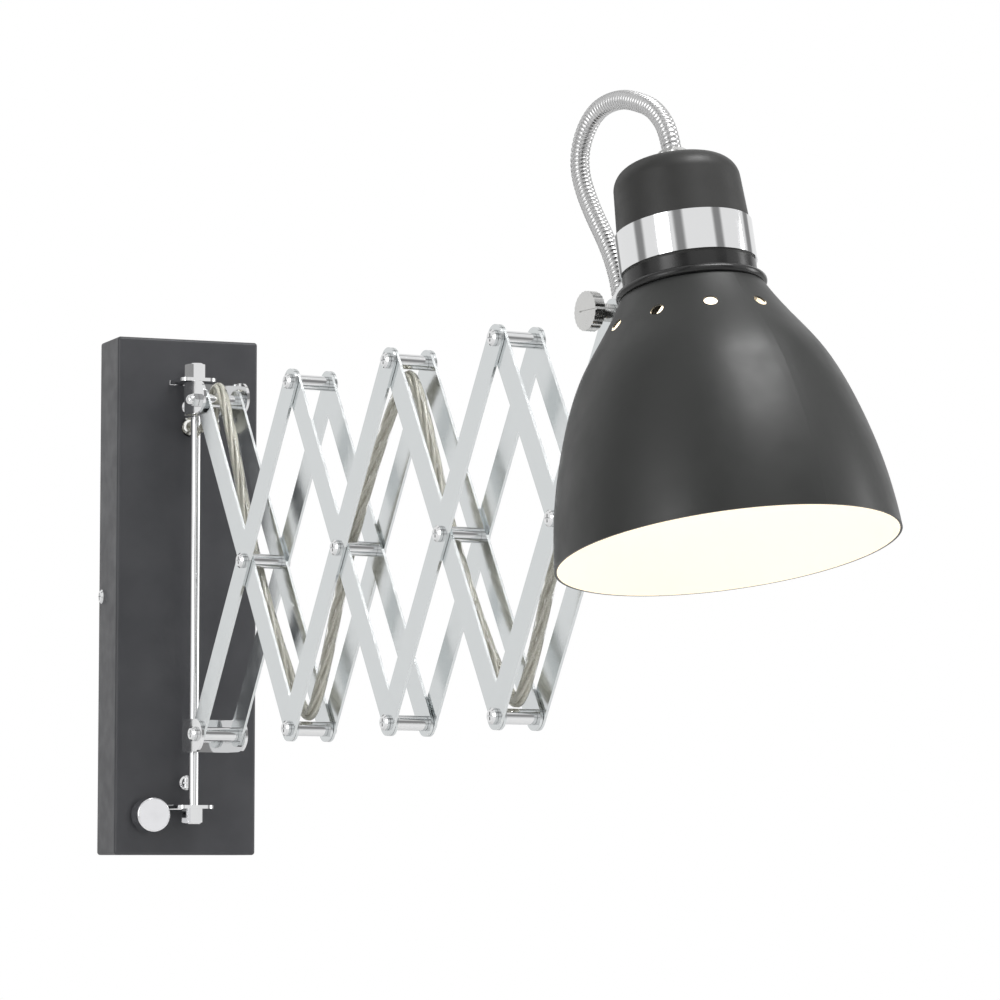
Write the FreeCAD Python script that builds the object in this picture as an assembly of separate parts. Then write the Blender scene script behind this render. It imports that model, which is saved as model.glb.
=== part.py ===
import FreeCAD
import Part
import math
import os

# Accordion wall lamp.  Millimetres.  Origin: centre of the wall box's back, on the wall plane.
# +X right, -Y out of the wall, +Z up.  The scissor arm is drawn in its own frame: u out along the arm,
# y across it (the near side is -y) and z up, with the pivot rod as its z axis.  Then it is swung to ARM_SWING.

# ---- wall box -------------------------------------------------------------------------------------
BOX_WIDTH = 85.0
BOX_HEIGHT = 300.0
BOX_DEPTH = 35.0
BOX_SHEET = 1.2
BOX_EDGE_RADIUS = 1.8
SLIP = 0.3                      # gap round a piece that slips into a sheet cut-out
COVER_SCREW_DEPTH = 9.5         # cover screws' distance from the wall

# ---- bracket on the wall, inside the box -----------------------------------------------------------
WALL_BRACKET_SHEET = 1.5
WALL_BRACKET_HEIGHT = 60.0
WALL_BRACKET_TAB_WIDTH = 20.0
WALL_BRACKET_TAB_DEPTH = 17.0
WALL_SCREW_SPACING = 50.0
WALL_SCREW_HOLE_RADIUS = 2.5
MAINS_HOLE_RADIUS = 9.0
MAINS_HOLE_Z = -17.0
TERMINAL_FOOT = 10.0            # foot of the terminal block above the box middle
TERMINAL_WAY = 9.0              # from wire entry to wire entry
TERMINAL_DEPTH = 12.0
TERMINAL_HEIGHT = 14.0
TERMINAL_ENTRY_RADIUS = 2.0
TERMINAL_WELL_RADIUS = 2.4
LEAD_RADIUS = 1.9

# ---- pivot rod and its ears ------------------------------------------------------------------------
ROD_RADIUS = 3.0
ROD_STANDOFF = 15.0             # rod axis in front of the box
ROD_FIT = 0.05
EAR_TOP = 123.1                 # inner face of the upper ear
EAR_BOTTOM = -121.5             # inner face of the lower ear
EAR_SHEET = 2.0
EAR_WIDTH = 22.0
EAR_NOSE = 8.0                  # front edge of the ears beyond the rod axis
EAR_CORNER = 5.0
EAR_LEG = 20.6                  # leg of the ear, behind the box front
EAR_SCREW_INSET = 13.1          # leg screw from the ear's inner face
NUT_FLATS = 12.0
NUT_HEIGHT = 8.8
NUT_FLOOR = 1.0                 # closed end of the rod nuts

# ---- cable and its gland ---------------------------------------------------------------------------
CABLE_RADIUS = 3.3
CABLE_GAP = 0.3
GLAND_X = 1.5
GLAND_Z = 98.5
GLAND_FLANGE_RADIUS = 5.8
GLAND_FLANGE = 2.2
GLAND_NECK_RADIUS = 4.3

# ---- dimmer ----------------------------------------------------------------------------------------
KNOB_X = -24.0
KNOB_Z = -127.0
KNOB_RADIUS = 9.75
KNOB_LENGTH = 14.0
KNOB_STANDOFF = 2.8             # gap between the box front and the knob
DIMMER_SHAFT_RADIUS = 3.0
DIMMER_BUSH_RADIUS = 4.2
DIMMER_WIDTH = 24.0
DIMMER_DEPTH = 15.0

# ---- scissor arm -----------------------------------------------------------------------------------
ARM_SWING = 9.0                 # degrees to the right of straight out
BAYS = 4
LINK = 220.0                    # end pin to end pin
SPREAD = 60.0                   # angle of each bar from level, in the photographed pose
PIN_REACH = 30.0                # first pins from the rod axis
PIN_TOP = 109.0
BAR_WIDTH = 14.0
BAR_SHEET = 1.5
BAR_GAP = 0.2                   # between crossing bars
PIN_RADIUS = 2.0
PIN_FIT = 0.08
SLEEVE_RADIUS = 4.0
SLEEVE_HALF = 9.7
SEAT_GAP = 0.1                  # sleeve or screw head to the bar beside it
SCREW_HEAD_RADIUS = 4.2
SCREW_HEAD_HEIGHT = 2.6
SCREW_GRIP = 8.0

# ---- carriers on the rod ---------------------------------------------------------------------------
CARRIER_SHEET = 1.6
CARRIER_HEIGHT = 18.6
CARRIER_WEB = 14.4              # back face of the web from the rod axis
CARRIER_TAB_WIDTH = 12.0
CARRIER_TAB_BACK = 6.0
TOP_CARRIER_RISE = 2.1          # middle of the carrier above its pins
BOTTOM_CARRIER_RISE = -0.7
BUSH_RADIUS = 5.0
WASHER_RADIUS = 4.6
ACORN_FLATS = 7.0
ACORN_HEX = 3.2

# ---- cable route on the arm ------------------------------------------------------------------------
CABLE_MID_OFFSET = 10.4         # corner of the route beside each middle pin, towards the wall
CABLE_BEND_REACH = 24.0         # soft stretch on each side of a bend

# ---- head ------------------------------------------------------------------------------------------
HEAD_TILT = 11.6                # rim outwards
HEAD_LEAN = 1.3                 # top towards the near side, as the strip bracket sags
HEAD_SHIFT = -2.7               # and its shift to that side
HEAD_PIVOT_HEIGHT = 133.6       # head pin above the rim, along the head's axis
HEAD_PIVOT_OFFSET = 54.6        # head axis from the head pin
CAP_RADIUS = 31.7
SHADE_WALL = 1.0
SHADE_MOUTH = 3.0               # the shade's top is this much wider than the cap
SHADE_PROFILE = [(81.4, 0.0), (77.4, 31.4), (69.1, 62.7), (57.3, 90.2), (44.1, 109.8),
                 (CAP_RADIUS + SHADE_MOUTH, 125.4)]
VENTS = 11
VENT_RADIUS = 3.3
VENT_HEIGHT = 108.5
VENT_PHASE = 8.0                # degrees from straight out to the first vent
COLLAR_BEAD_RADIUS = 2.2
COLLAR_BEAD_REACH = CAP_RADIUS + 4.3
COLLAR_NECK_RADIUS = CAP_RADIUS + 0.3
COLLAR_WALL = 1.4
CAP_FOOT = 137.0
CAP_TAPER = 1.3                 # smaller radius at the top
CAP_HEIGHT = 53.5
CAP_CORNER = 11.0
CAP_WALL = 1.2
BAND_RISE = 1.1                 # band above the cap's foot
BAND_HEIGHT = 19.6
BAND_SHEET = 1.0
BAND_FIT = 0.05
FITTING_RADIUS = 8.75
FITTING_HEIGHT = 6.6
FITTING_NECK_RADIUS = 5.0
SHEATH_RADIUS = 4.8
SHEATH_PITCH = 3.2
SHEATH_RIB = 0.45
SHEATH_TURN = ((0.0, SHEATH_RIB), (0.3, 0.0), (0.7, 0.0))   # share of the turn, depth below the crest
SHEATH_WALL = 1.2
SOCKET_DEPTH = 4.0
FERRULE_HALF = 8.0
FERRULE_HEADING = 95.0          # degrees from level, leaning back to the wall
FERRULE_WALL = 0.6
SOCKET_FIT = 0.12
HOLDER_RADIUS = 20.0
HOLDER_FOOT = 129.4
HOLDER_HANG = 5.0               # holder's top below the inside of the cap
HOLDER_CROWN = 16.0             # solid top of the holder
BULB_RADIUS = 30.0
BULB_DROP = 66.0                # tip of the glass below the holder's foot
BULB_NECK_RADIUS = 13.3
BULB_GLASS = 1.2
THUMB_RADIUS = 9.7
THUMB_HEIGHT = 5.5
THUMB_COLLAR_RADIUS = 4.35
THUMB_STANDOFF = 22.5           # knurled head from the arm's middle plane
KNURLS = 24
KNURL_DEPTH = 0.35

# ---- worked out from the sizes above ----------------------------------------------------------------
BOX_FRONT = -BOX_DEPTH
SHEET_BACK = BOX_FRONT + BOX_SHEET
ROD_Y = BOX_FRONT - ROD_STANDOFF
EAR_FRONT = ROD_Y - EAR_NOSE
PITCH = LINK * math.cos(math.radians(SPREAD))
DROP = LINK * math.sin(math.radians(SPREAD))
INNER_BAR = SLEEVE_HALF + SEAT_GAP
OUTER_BAR = INNER_BAR + BAR_SHEET + BAR_GAP
SCREW_SEAT = OUTER_BAR + BAR_SHEET + SEAT_GAP
CARRIER_INSIDE = SCREW_SEAT
CARRIER_OUTSIDE = CARRIER_INSIDE + CARRIER_SHEET
CABLE_WRAP = SLEEVE_RADIUS + CABLE_RADIUS + CABLE_GAP
CAP_TOP_RADIUS = CAP_RADIUS - CAP_TAPER
CAP_SEAT = CAP_FOOT + CAP_HEIGHT
BAND_FOOT = CAP_FOOT + BAND_RISE
HOLDER_TOP = CAP_SEAT - CAP_WALL - HOLDER_HANG
UP = FreeCAD.Vector(0, 0, 1)
ACROSS = FreeCAD.Vector(0, 1, 0)


def vec(x, y, z):
    return FreeCAD.Vector(x, y, z)


def box(lo, hi):
    """Block between two opposite corners."""
    size = vec(*hi) - vec(*lo)
    return Part.makeBox(size.x, size.y, size.z, vec(*lo))


def rod(radius, start, end):
    """Round bar from start to end."""
    axis = end - start
    return Part.makeCylinder(radius, axis.Length, start, axis)


def on_axis(shape, point, direction):
    """Copy of a shape drawn on +Z, stood at a point along a direction."""
    moved = shape.copy()
    moved.Placement = FreeCAD.Placement(point, FreeCAD.Rotation(UP, direction)).multiply(moved.Placement)
    return moved


def mirrored(shape):
    """The same piece on the other side of the arm's middle plane."""
    return shape.mirror(vec(0, 0, 0), ACROSS)


def revolved(outline):
    """Solid of revolution about +Z from (radius, height) points, joined by straight lines."""
    points = [vec(r, 0, z) for r, z in outline]
    wire = Part.makePolygon(points + points[:1])
    return Part.Face(wire).revolve(vec(0, 0, 0), UP, 360)


def hexagon(flats, height):
    """Hexagonal prism on +Z with its top corners turned off."""
    corner = flats / math.sqrt(3)
    points = [vec(corner * math.cos(math.radians(60 * i)), corner * math.sin(math.radians(60 * i)), 0)
              for i in range(7)]
    prism = Part.Face(Part.makePolygon(points)).extrude(vec(0, 0, height))
    chamfer = corner - flats / 2
    turned = revolved([(0, 0), (corner, 0), (corner, height - chamfer), (corner - 2 * chamfer, height),
                       (0, height)])
    return prism.common(turned)


def knurled(radius, height):
    """Disc on +Z whose edge has straight knurls."""
    points = []
    for i in range(2 * KNURLS):
        angle = math.pi * i / KNURLS
        reach = radius - KNURL_DEPTH * (i % 2)
        points.append(vec(reach * math.cos(angle), reach * math.sin(angle), 0))
    return Part.Face(Part.makePolygon(points + points[:1])).extrude(vec(0, 0, height))


def pan_screw(grip):
    """Pan head screw on +Z: shank down from the seat at z = 0, cross recess in the head."""
    head = Part.makeCylinder(SCREW_HEAD_RADIUS, SCREW_HEAD_HEIGHT)
    top_edge = [e for e in head.Edges if abs(e.CenterOfMass.z - SCREW_HEAD_HEIGHT) < 0.01 and len(e.Vertexes) == 1]
    head = head.makeChamfer(0.4 * SCREW_HEAD_HEIGHT, top_edge)
    recess = SCREW_HEAD_RADIUS / 2
    for length, width in ((recess, recess / 5), (recess / 5, recess)):
        head = head.cut(box((-length, -width, SCREW_HEAD_HEIGHT / 2), (length, width, SCREW_HEAD_HEIGHT)))
    return head.fuse(rod(PIN_RADIUS, vec(0, 0, -grip), vec(0, 0, 0))).removeSplitter()


# ---- scissor arm's points ---------------------------------------------------------------------------
def top_pin(i):
    return (PIN_REACH + i * PITCH, PIN_TOP)


def bottom_pin(i):
    return (PIN_REACH + i * PITCH, PIN_TOP - DROP)


def middle_pin(i):
    return (PIN_REACH + (i + 0.5) * PITCH, PIN_TOP - DROP / 2)


def beside(pin, du, dz):
    return (pin[0] + du, pin[1] + dz)


def swung(shape):
    """From the arm's frame to the lamp's."""
    moved = shape.copy()
    turn = FreeCAD.Rotation(UP, ARM_SWING - 90)
    moved.Placement = FreeCAD.Placement(vec(0, ROD_Y, 0), turn).multiply(moved.Placement)
    return moved


def head_frame():
    """Frame of the head in the arm's frame: origin at the rim's centre, +Z up its axis."""
    u, z = top_pin(BAYS)
    tilt = FreeCAD.Rotation(ACROSS, -HEAD_TILT)
    lean = FreeCAD.Rotation(vec(1, 0, 0), HEAD_LEAN)
    turn = lean.multiply(tilt)
    from_pin = turn.multVec(vec(HEAD_PIVOT_OFFSET, 0, -HEAD_PIVOT_HEIGHT))
    return FreeCAD.Placement(vec(u, HEAD_SHIFT, z) + from_pin, turn)


def on_head(shape):
    """From the head's frame to the lamp's."""
    moved = shape.copy()
    moved.Placement = head_frame().multiply(moved.Placement)
    return swung(moved)


# ---- tubes along rounded routes ------------------------------------------------------------------------
class Route:
    """Straight runs between hand-chosen points, joined by tangent arcs."""

    def __init__(self, points):
        self.points = points
        self.arcs = [self.arc(i) for i in range(1, len(points) - 1)]

    def arc(self, i):
        """Arc that rounds point i: as large as its two runs allow."""
        before, corner, after = self.points[i - 1:i + 2]
        into = (corner - before).normalize()
        away = (after - corner).normalize()
        half_turn = into.getAngle(away) / 2
        reach = 0.45 * min((corner - before).Length, (after - corner).Length)
        radius = reach / math.tan(half_turn)
        bisector = (away - into).normalize()
        middle = corner + bisector * (radius / math.cos(half_turn) - radius)
        return corner - into * reach, middle, corner + away * reach, radius

    def edges(self, start=None, end=None):
        """Edges from start to end, each given as (point index, distance back or on from that point)."""
        first, first_reach = start or (0, 0.0)
        last, last_reach = end or (len(self.points) - 1, 0.0)
        here = self.along(first, first_reach)
        found = []
        for i in range(first + 1, last + (1 if last_reach > 0 else 0)):
            into, middle, away, radius = self.arcs[i - 1]
            found += [Part.LineSegment(here, into).toShape(), Part.Arc(into, middle, away).toShape()]
            here = away
        found.append(Part.LineSegment(here, self.along(last, last_reach)).toShape())
        return found

    def along(self, i, reach):
        """Point on the run after point i, or on the run before it when reach is negative."""
        if reach == 0:
            return self.points[i]
        other = self.points[i + 1] if reach > 0 else self.points[i - 1]
        return self.points[i] + (other - self.points[i]).normalize() * abs(reach)

    def tightest(self):
        return min(arc[3] for arc in self.arcs)


def tube(edges, radius):
    """Round cord along a chain of tangent edges."""
    path = Part.Wire(edges)
    start = edges[0].valueAt(edges[0].FirstParameter)
    heading = edges[0].tangentAt(edges[0].FirstParameter)
    section = Part.Wire([Part.Circle(start, heading, radius).toShape()])
    solid = path.makePipeShell([section], True, False)
    expected = math.pi * radius ** 2 * path.Length
    print("tube %.0f mm long, volume %.4f of its section times its length" % (path.Length, solid.Volume / expected))
    return solid


def cable_route():
    """Cable from the gland to the ferrule, in the arm's frame, with the corners that split it."""
    turn = FreeCAD.Rotation(UP, 90 - ARM_SWING)
    back = FreeCAD.Placement(vec(0, 0, 0), turn).multiply(FreeCAD.Placement(vec(0, -ROD_Y, 0), FreeCAD.Rotation()))
    lamp_points = [vec(GLAND_X, BOX_FRONT, GLAND_Z), vec(GLAND_X + 0.1, BOX_FRONT - 7.6, GLAND_Z),
                   vec(10.2, ROD_Y + 2.8, GLAND_Z - 1.4), vec(9.2, ROD_Y - 9.0, GLAND_Z - 3.2)]
    points = [back.multVec(p) for p in lamp_points]
    u0, z0 = top_pin(0)
    rise = u0 - CABLE_WRAP - 0.5
    points += [vec(rise, 0.0, GLAND_Z - 4.0), vec(rise, 0.0, z0 + CABLE_WRAP + 0.6),
               vec(u0 + 5.2, 0.0, z0 + CABLE_WRAP + 0.4)]
    over_first_pin = len(points) - 1
    down = math.radians(SPREAD)
    bends = []
    for i in range(BAYS):
        rising = i % 2
        wall_side = (-CABLE_MID_OFFSET * math.sin(down), CABLE_MID_OFFSET * math.cos(down) * (1 if rising else -1))
        u, z = beside(middle_pin(i), *wall_side)
        points.append(vec(u, 0.0, z))
        if i == BAYS - 1:
            break
        pin = top_pin(i + 1) if rising else bottom_pin(i + 1)
        clear = -CABLE_WRAP if rising else CABLE_WRAP
        bends.append(len(points))
        points += [vec(pin[0] - 8.1, 0.0, pin[1] + clear), vec(pin[0] + 8.1, 0.0, pin[1] + clear)]
    u, z = top_pin(BAYS)
    points += [vec(u - 8.1, 0.0, z - 17.0), vec(*ferrule_point(-FERRULE_HALF))]
    return Route(points), over_first_pin, bends


def ferrule_point(t):
    """Point on the ferrule's axis, t above the head pin's level, on the wall side of the pin's sleeve."""
    u, z = top_pin(BAYS)
    away = SLEEVE_RADIUS + SHEATH_RADIUS + FERRULE_WALL + CABLE_GAP
    heading = math.radians(FERRULE_HEADING)
    return (u - away * math.sin(heading) + t * math.cos(heading), 0.0,
            z + away * math.cos(heading) + t * math.sin(heading))


def sheath_route():
    """Wound sheath from the ferrule over the arm to the fitting on the cap, in the arm's frame."""
    u, z = top_pin(BAYS)
    over = [(-46.5, 0.0, 66.5), (-50.3, -0.3, 87.7), (-34.9, -1.0, 104.7), (-9.7, -2.0, 107.5),
            (13.4, -3.0, 101.1), (26.5, -3.8, 95.0)]
    points = [vec(*ferrule_point(FERRULE_HALF - SOCKET_DEPTH + SEAT_GAP)), vec(*ferrule_point(FERRULE_HALF + 16.0))]
    points += [vec(u + du, y, z + dz) for du, y, dz in over]
    frame = head_frame()
    seat = frame.multVec(vec(0, 0, CAP_SEAT + FITTING_HEIGHT - SOCKET_DEPTH + SEAT_GAP))
    above = frame.multVec(vec(0, 0, CAP_SEAT + FITTING_HEIGHT + 10.0))
    return Route(points + [above, seat])


# ---- fixed pieces on the wall ---------------------------------------------------------------------------
def wall_box():
    half_w, half_h = BOX_WIDTH / 2, BOX_HEIGHT / 2
    outside = box((-half_w, BOX_FRONT, -half_h), (half_w, 0, half_h))
    bent = [e for e in outside.Edges if e.BoundBox.YMin < BOX_FRONT + 0.01]
    outside = outside.makeFillet(BOX_EDGE_RADIUS, bent)
    inside = box((-half_w + BOX_SHEET, SHEET_BACK, -half_h + BOX_SHEET), (half_w - BOX_SHEET, 1, half_h - BOX_SHEET))
    shell = outside.cut(inside)
    through = [rod(PIN_RADIUS + PIN_FIT, vec(0, BOX_FRONT - 1, z), vec(0, SHEET_BACK + 1, z)) for z in ear_screws()]
    for face in (EAR_TOP, EAR_BOTTOM - EAR_SHEET):
        through.append(box((-EAR_WIDTH / 2 - SLIP, BOX_FRONT - 1, face - SLIP),
                           (EAR_WIDTH / 2 + SLIP, SHEET_BACK + 1, face + EAR_SHEET + SLIP)))
    through.append(rod(GLAND_NECK_RADIUS + SLIP, vec(GLAND_X, BOX_FRONT - 1, GLAND_Z),
                       vec(GLAND_X, SHEET_BACK + 1, GLAND_Z)))
    through.append(rod(DIMMER_BUSH_RADIUS + SLIP, vec(KNOB_X, BOX_FRONT - 1, KNOB_Z),
                       vec(KNOB_X, SHEET_BACK + 1, KNOB_Z)))
    through.append(rod(PIN_RADIUS + PIN_FIT, vec(-half_w - 1, -COVER_SCREW_DEPTH, 0),
                       vec(half_w + 1, -COVER_SCREW_DEPTH, 0)))
    return shell.cut(through)


def wall_bracket():
    half_w = BOX_WIDTH / 2 - BOX_SHEET - SLIP
    half_h = WALL_BRACKET_HEIGHT / 2
    bracket = box((-half_w, -WALL_BRACKET_SHEET, -half_h), (half_w, 0, half_h))
    for side in (-1, 1):
        tab = box((half_w - WALL_BRACKET_SHEET, -WALL_BRACKET_TAB_DEPTH, -WALL_BRACKET_TAB_WIDTH / 2),
                  (half_w, 0, WALL_BRACKET_TAB_WIDTH / 2))
        bracket = bracket.fuse(tab if side > 0 else tab.mirror(vec(0, 0, 0), vec(1, 0, 0)))
    holes = [rod(WALL_SCREW_HOLE_RADIUS, vec(x, -WALL_BRACKET_SHEET - 1, 0), vec(x, 1, 0))
             for x in (-WALL_SCREW_SPACING / 2, WALL_SCREW_SPACING / 2)]
    holes.append(rod(MAINS_HOLE_RADIUS, vec(0, -WALL_BRACKET_SHEET - 1, MAINS_HOLE_Z),
                     vec(0, 1, MAINS_HOLE_Z)))
    holes.append(rod(PIN_RADIUS + PIN_FIT, vec(-half_w - 1, -COVER_SCREW_DEPTH, 0),
                     vec(half_w + 1, -COVER_SCREW_DEPTH, 0)))
    return bracket.removeSplitter().cut(holes)


def cover_screws():
    screw = pan_screw(BOX_SHEET + SLIP + WALL_BRACKET_SHEET + 2.0)
    seat = BOX_WIDTH / 2
    return [on_axis(screw, vec(side * seat, -COVER_SCREW_DEPTH, 0), vec(side, 0, 0)) for side in (-1, 1)]


def terminal_block():
    """Three-way terminal block with its wire entries and clamp screw wells, on the bracket."""
    front, middle = -WALL_BRACKET_SHEET - TERMINAL_DEPTH, -WALL_BRACKET_SHEET - TERMINAL_DEPTH / 2
    foot, top = TERMINAL_FOOT, TERMINAL_FOOT + TERMINAL_HEIGHT
    block = box((-1.5 * TERMINAL_WAY, front, foot), (1.5 * TERMINAL_WAY, -WALL_BRACKET_SHEET, top))
    for x in (-TERMINAL_WAY, 0, TERMINAL_WAY):
        entry = rod(TERMINAL_ENTRY_RADIUS, vec(x, middle, foot - 1), vec(x, middle, top + 1))
        well = rod(TERMINAL_WELL_RADIUS, vec(x, front - 1, (foot + top) / 2), vec(x, middle, (foot + top) / 2))
        block = block.cut([entry, well])
    return block


def ear_screws():
    """Heights of the screws that hold the ears to the box front."""
    return EAR_TOP - EAR_SCREW_INSET, EAR_BOTTOM + EAR_SCREW_INSET


def rod_brackets():
    """Two folded ears: each passes out through the box front and its leg is screwed behind it."""
    half = EAR_WIDTH / 2
    flap = box((-half, EAR_FRONT, 0), (half, SHEET_BACK, EAR_SHEET))
    corners = [e for e in flap.Edges if abs(e.CenterOfMass.y - EAR_FRONT) < 0.01 and e.Length < EAR_SHEET + 0.01]
    flap = flap.makeFillet(EAR_CORNER, corners)
    leg = box((-half, SHEET_BACK, EAR_SHEET - EAR_LEG), (half, SHEET_BACK + EAR_SHEET, EAR_SHEET))
    ear = flap.fuse(leg).removeSplitter()
    holes = [rod(ROD_RADIUS + ROD_FIT, vec(0, ROD_Y, -1), vec(0, ROD_Y, EAR_SHEET + 1)),
             rod(PIN_RADIUS + ROD_FIT, vec(0, BOX_FRONT, -EAR_SCREW_INSET),
                 vec(0, SHEET_BACK + EAR_SHEET + 1, -EAR_SCREW_INSET))]
    ear = ear.cut(holes)
    upper = ear.translated(vec(0, 0, EAR_TOP))
    lower = ear.mirror(vec(0, 0, 0), UP).translated(vec(0, 0, EAR_BOTTOM))
    return [upper, lower]


def rod_bracket_screws():
    screw = pan_screw(BOX_SHEET + EAR_SHEET + 1.5)
    return [on_axis(screw, vec(0, BOX_FRONT, z), vec(0, -1, 0)) for z in ear_screws()]


def rod_ends():
    reach = EAR_SHEET + NUT_HEIGHT - NUT_FLOOR
    return EAR_BOTTOM - reach, EAR_TOP + reach


def pivot_rod():
    low, high = rod_ends()
    shaft = rod(ROD_RADIUS, vec(0, ROD_Y, low), vec(0, ROD_Y, high))
    return shaft.makeChamfer(0.4, [e for e in shaft.Edges if len(e.Vertexes) == 1])


def rod_nuts():
    """Closed hexagon nuts on both ends of the rod."""
    nut = hexagon(NUT_FLATS, NUT_HEIGHT)
    nut = nut.cut(rod(ROD_RADIUS + ROD_FIT, vec(0, 0, -1), vec(0, 0, NUT_HEIGHT - NUT_FLOOR)))
    upper = on_axis(nut, vec(0, ROD_Y, EAR_TOP + EAR_SHEET), UP)
    lower = on_axis(nut, vec(0, ROD_Y, EAR_BOTTOM - EAR_SHEET), -UP)
    return [upper, lower]


def cable_gland():
    """Round gland: rounded flange outside, neck through the sheet, clamping ring inside."""
    inside = GLAND_FLANGE_RADIUS - 0.8
    gland = Part.makeCylinder(GLAND_FLANGE_RADIUS, GLAND_FLANGE)
    rim = [e for e in gland.Edges if abs(e.CenterOfMass.z - GLAND_FLANGE) < 0.01 and len(e.Vertexes) == 1]
    gland = gland.makeFillet(1.0, rim)
    gland = gland.fuse([rod(GLAND_NECK_RADIUS, vec(0, 0, -BOX_SHEET), vec(0, 0, 0)),
                        rod(inside, vec(0, 0, -BOX_SHEET - 3.0), vec(0, 0, -BOX_SHEET))])
    gland = gland.cut(rod(CABLE_RADIUS + ROD_FIT, vec(0, 0, -BOX_SHEET - 4.0), vec(0, 0, GLAND_FLANGE + 1)))
    return on_axis(gland.removeSplitter(), vec(GLAND_X, BOX_FRONT, GLAND_Z), vec(0, -1, 0))


def inner_leads():
    """Lamp cable's tail to the terminal block and the lead from there to the dimmer."""
    block_y = -WALL_BRACKET_SHEET - TERMINAL_DEPTH / 2
    block_top = TERMINAL_FOOT + TERMINAL_HEIGHT
    dimmer_y = SHEET_BACK + DIMMER_DEPTH - 4.0
    tail = Route([vec(GLAND_X, BOX_FRONT, GLAND_Z), vec(GLAND_X, SHEET_BACK + 14.8, GLAND_Z),
                  vec(1.0, block_y - 5.5, 72.0), vec(0.2, block_y - 0.4, 46.0), vec(0, block_y, block_top + SLIP)])
    lead = Route([vec(-TERMINAL_WAY, block_y, TERMINAL_FOOT - SLIP), vec(-12.0, block_y - 2.0, -22.0),
                  vec(-22.0, (block_y + dimmer_y) / 2, -62.0), vec(KNOB_X, dimmer_y, KNOB_Z + DIMMER_WIDTH / 2 + SLIP)])
    print("leads' least radii", [round(route.tightest(), 1) for route in (tail, lead)])
    return [tube(tail.edges(), CABLE_RADIUS), tube(lead.edges(), LEAD_RADIUS)]


def dimmer_module():
    """Rotary dimmer behind the box front, with its threaded bush and the nut under the knob."""
    half = DIMMER_WIDTH / 2
    body = box((KNOB_X - half, SHEET_BACK, KNOB_Z - half), (KNOB_X + half, SHEET_BACK + DIMMER_DEPTH, KNOB_Z + half))
    body = body.makeFillet(1.5, [e for e in body.Edges if abs(e.tangentAt(0).y) > 0.9])
    nut = on_axis(hexagon(2 * DIMMER_BUSH_RADIUS + 3.6, KNOB_STANDOFF - 0.8), vec(KNOB_X, BOX_FRONT, KNOB_Z),
                  vec(0, -1, 0))
    bush = rod(DIMMER_BUSH_RADIUS, vec(KNOB_X, BOX_FRONT - KNOB_STANDOFF + 0.3, KNOB_Z), vec(KNOB_X, SHEET_BACK, KNOB_Z))
    bore = rod(DIMMER_SHAFT_RADIUS + ROD_FIT, vec(KNOB_X, BOX_FRONT - KNOB_STANDOFF, KNOB_Z),
               vec(KNOB_X, SHEET_BACK + 6.0, KNOB_Z))
    return body.fuse([bush, nut]).cut(bore)


def knob_face():
    return BOX_FRONT - KNOB_STANDOFF - KNOB_LENGTH


def dimmer_knob():
    knob = Part.makeCylinder(KNOB_RADIUS, KNOB_LENGTH)
    rims = [e for e in knob.Edges if len(e.Vertexes) == 1]
    knob = knob.makeFillet(0.8, rims)
    knob = knob.cut(rod(DIMMER_SHAFT_RADIUS + ROD_FIT, vec(0, 0, -1), vec(0, 0, KNOB_LENGTH - 3.0)))
    return on_axis(knob, vec(KNOB_X, knob_face() + KNOB_LENGTH, KNOB_Z), vec(0, -1, 0))


def dimmer_shaft():
    return rod(DIMMER_SHAFT_RADIUS, vec(KNOB_X, SHEET_BACK + 5.0, KNOB_Z), vec(KNOB_X, knob_face() + 3.4, KNOB_Z))


# ---- scissor arm --------------------------------------------------------------------------------------------
def capsule(start, end, radius, y, thickness):
    """Flat bar with round ends between two (u, z) points."""
    angle = math.atan2(end[1] - start[1], end[0] - start[0])
    along = vec(math.cos(angle), 0, math.sin(angle)) * radius
    aside = vec(-math.sin(angle), 0, math.cos(angle)) * radius
    a, b = vec(start[0], y, start[1]), vec(end[0], y, end[1])
    wire = Part.Wire([Part.LineSegment(a + aside, b + aside).toShape(),
                      Part.Arc(b + aside, b + along, b - aside).toShape(),
                      Part.LineSegment(b - aside, a - aside).toShape(),
                      Part.Arc(a - aside, a - along, a + aside).toShape()])
    return Part.Face(wire).extrude(vec(0, thickness, 0))


def across(pin, radius, inside, outside):
    """Round bar across the arm at a pin, between two distances from the middle plane."""
    return rod(radius, vec(pin[0], inside, pin[1]), vec(pin[0], outside, pin[1]))


def bar_pair(pins, layer):
    """The two bars of one link: pins are its ends, with any middle pin between them."""
    bar = capsule(pins[0], pins[-1], BAR_WIDTH / 2, layer, BAR_SHEET)
    bar = bar.cut([across(pin, PIN_RADIUS + PIN_FIT, layer - 1, layer + BAR_SHEET + 1) for pin in pins])
    return [swung(bar), swung(mirrored(bar))]


def sleeve(pin, half_length):
    ring = across(pin, SLEEVE_RADIUS, -half_length, half_length)
    return swung(ring.cut(across(pin, PIN_RADIUS + ROD_FIT, -half_length - 1, half_length + 1)))


def side_screw(pin, side, seat=SCREW_SEAT, grip=SCREW_GRIP):
    screw = on_axis(pan_screw(grip), vec(pin[0], side * seat, pin[1]), vec(0, side, 0))
    return swung(screw)


def pivot_set(pins):
    """Sleeve and two screws at each pin."""
    pieces = []
    for pin in pins:
        pieces += [sleeve(pin, SLEEVE_HALF), side_screw(pin, -1), side_screw(pin, 1)]
    return pieces


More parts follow.
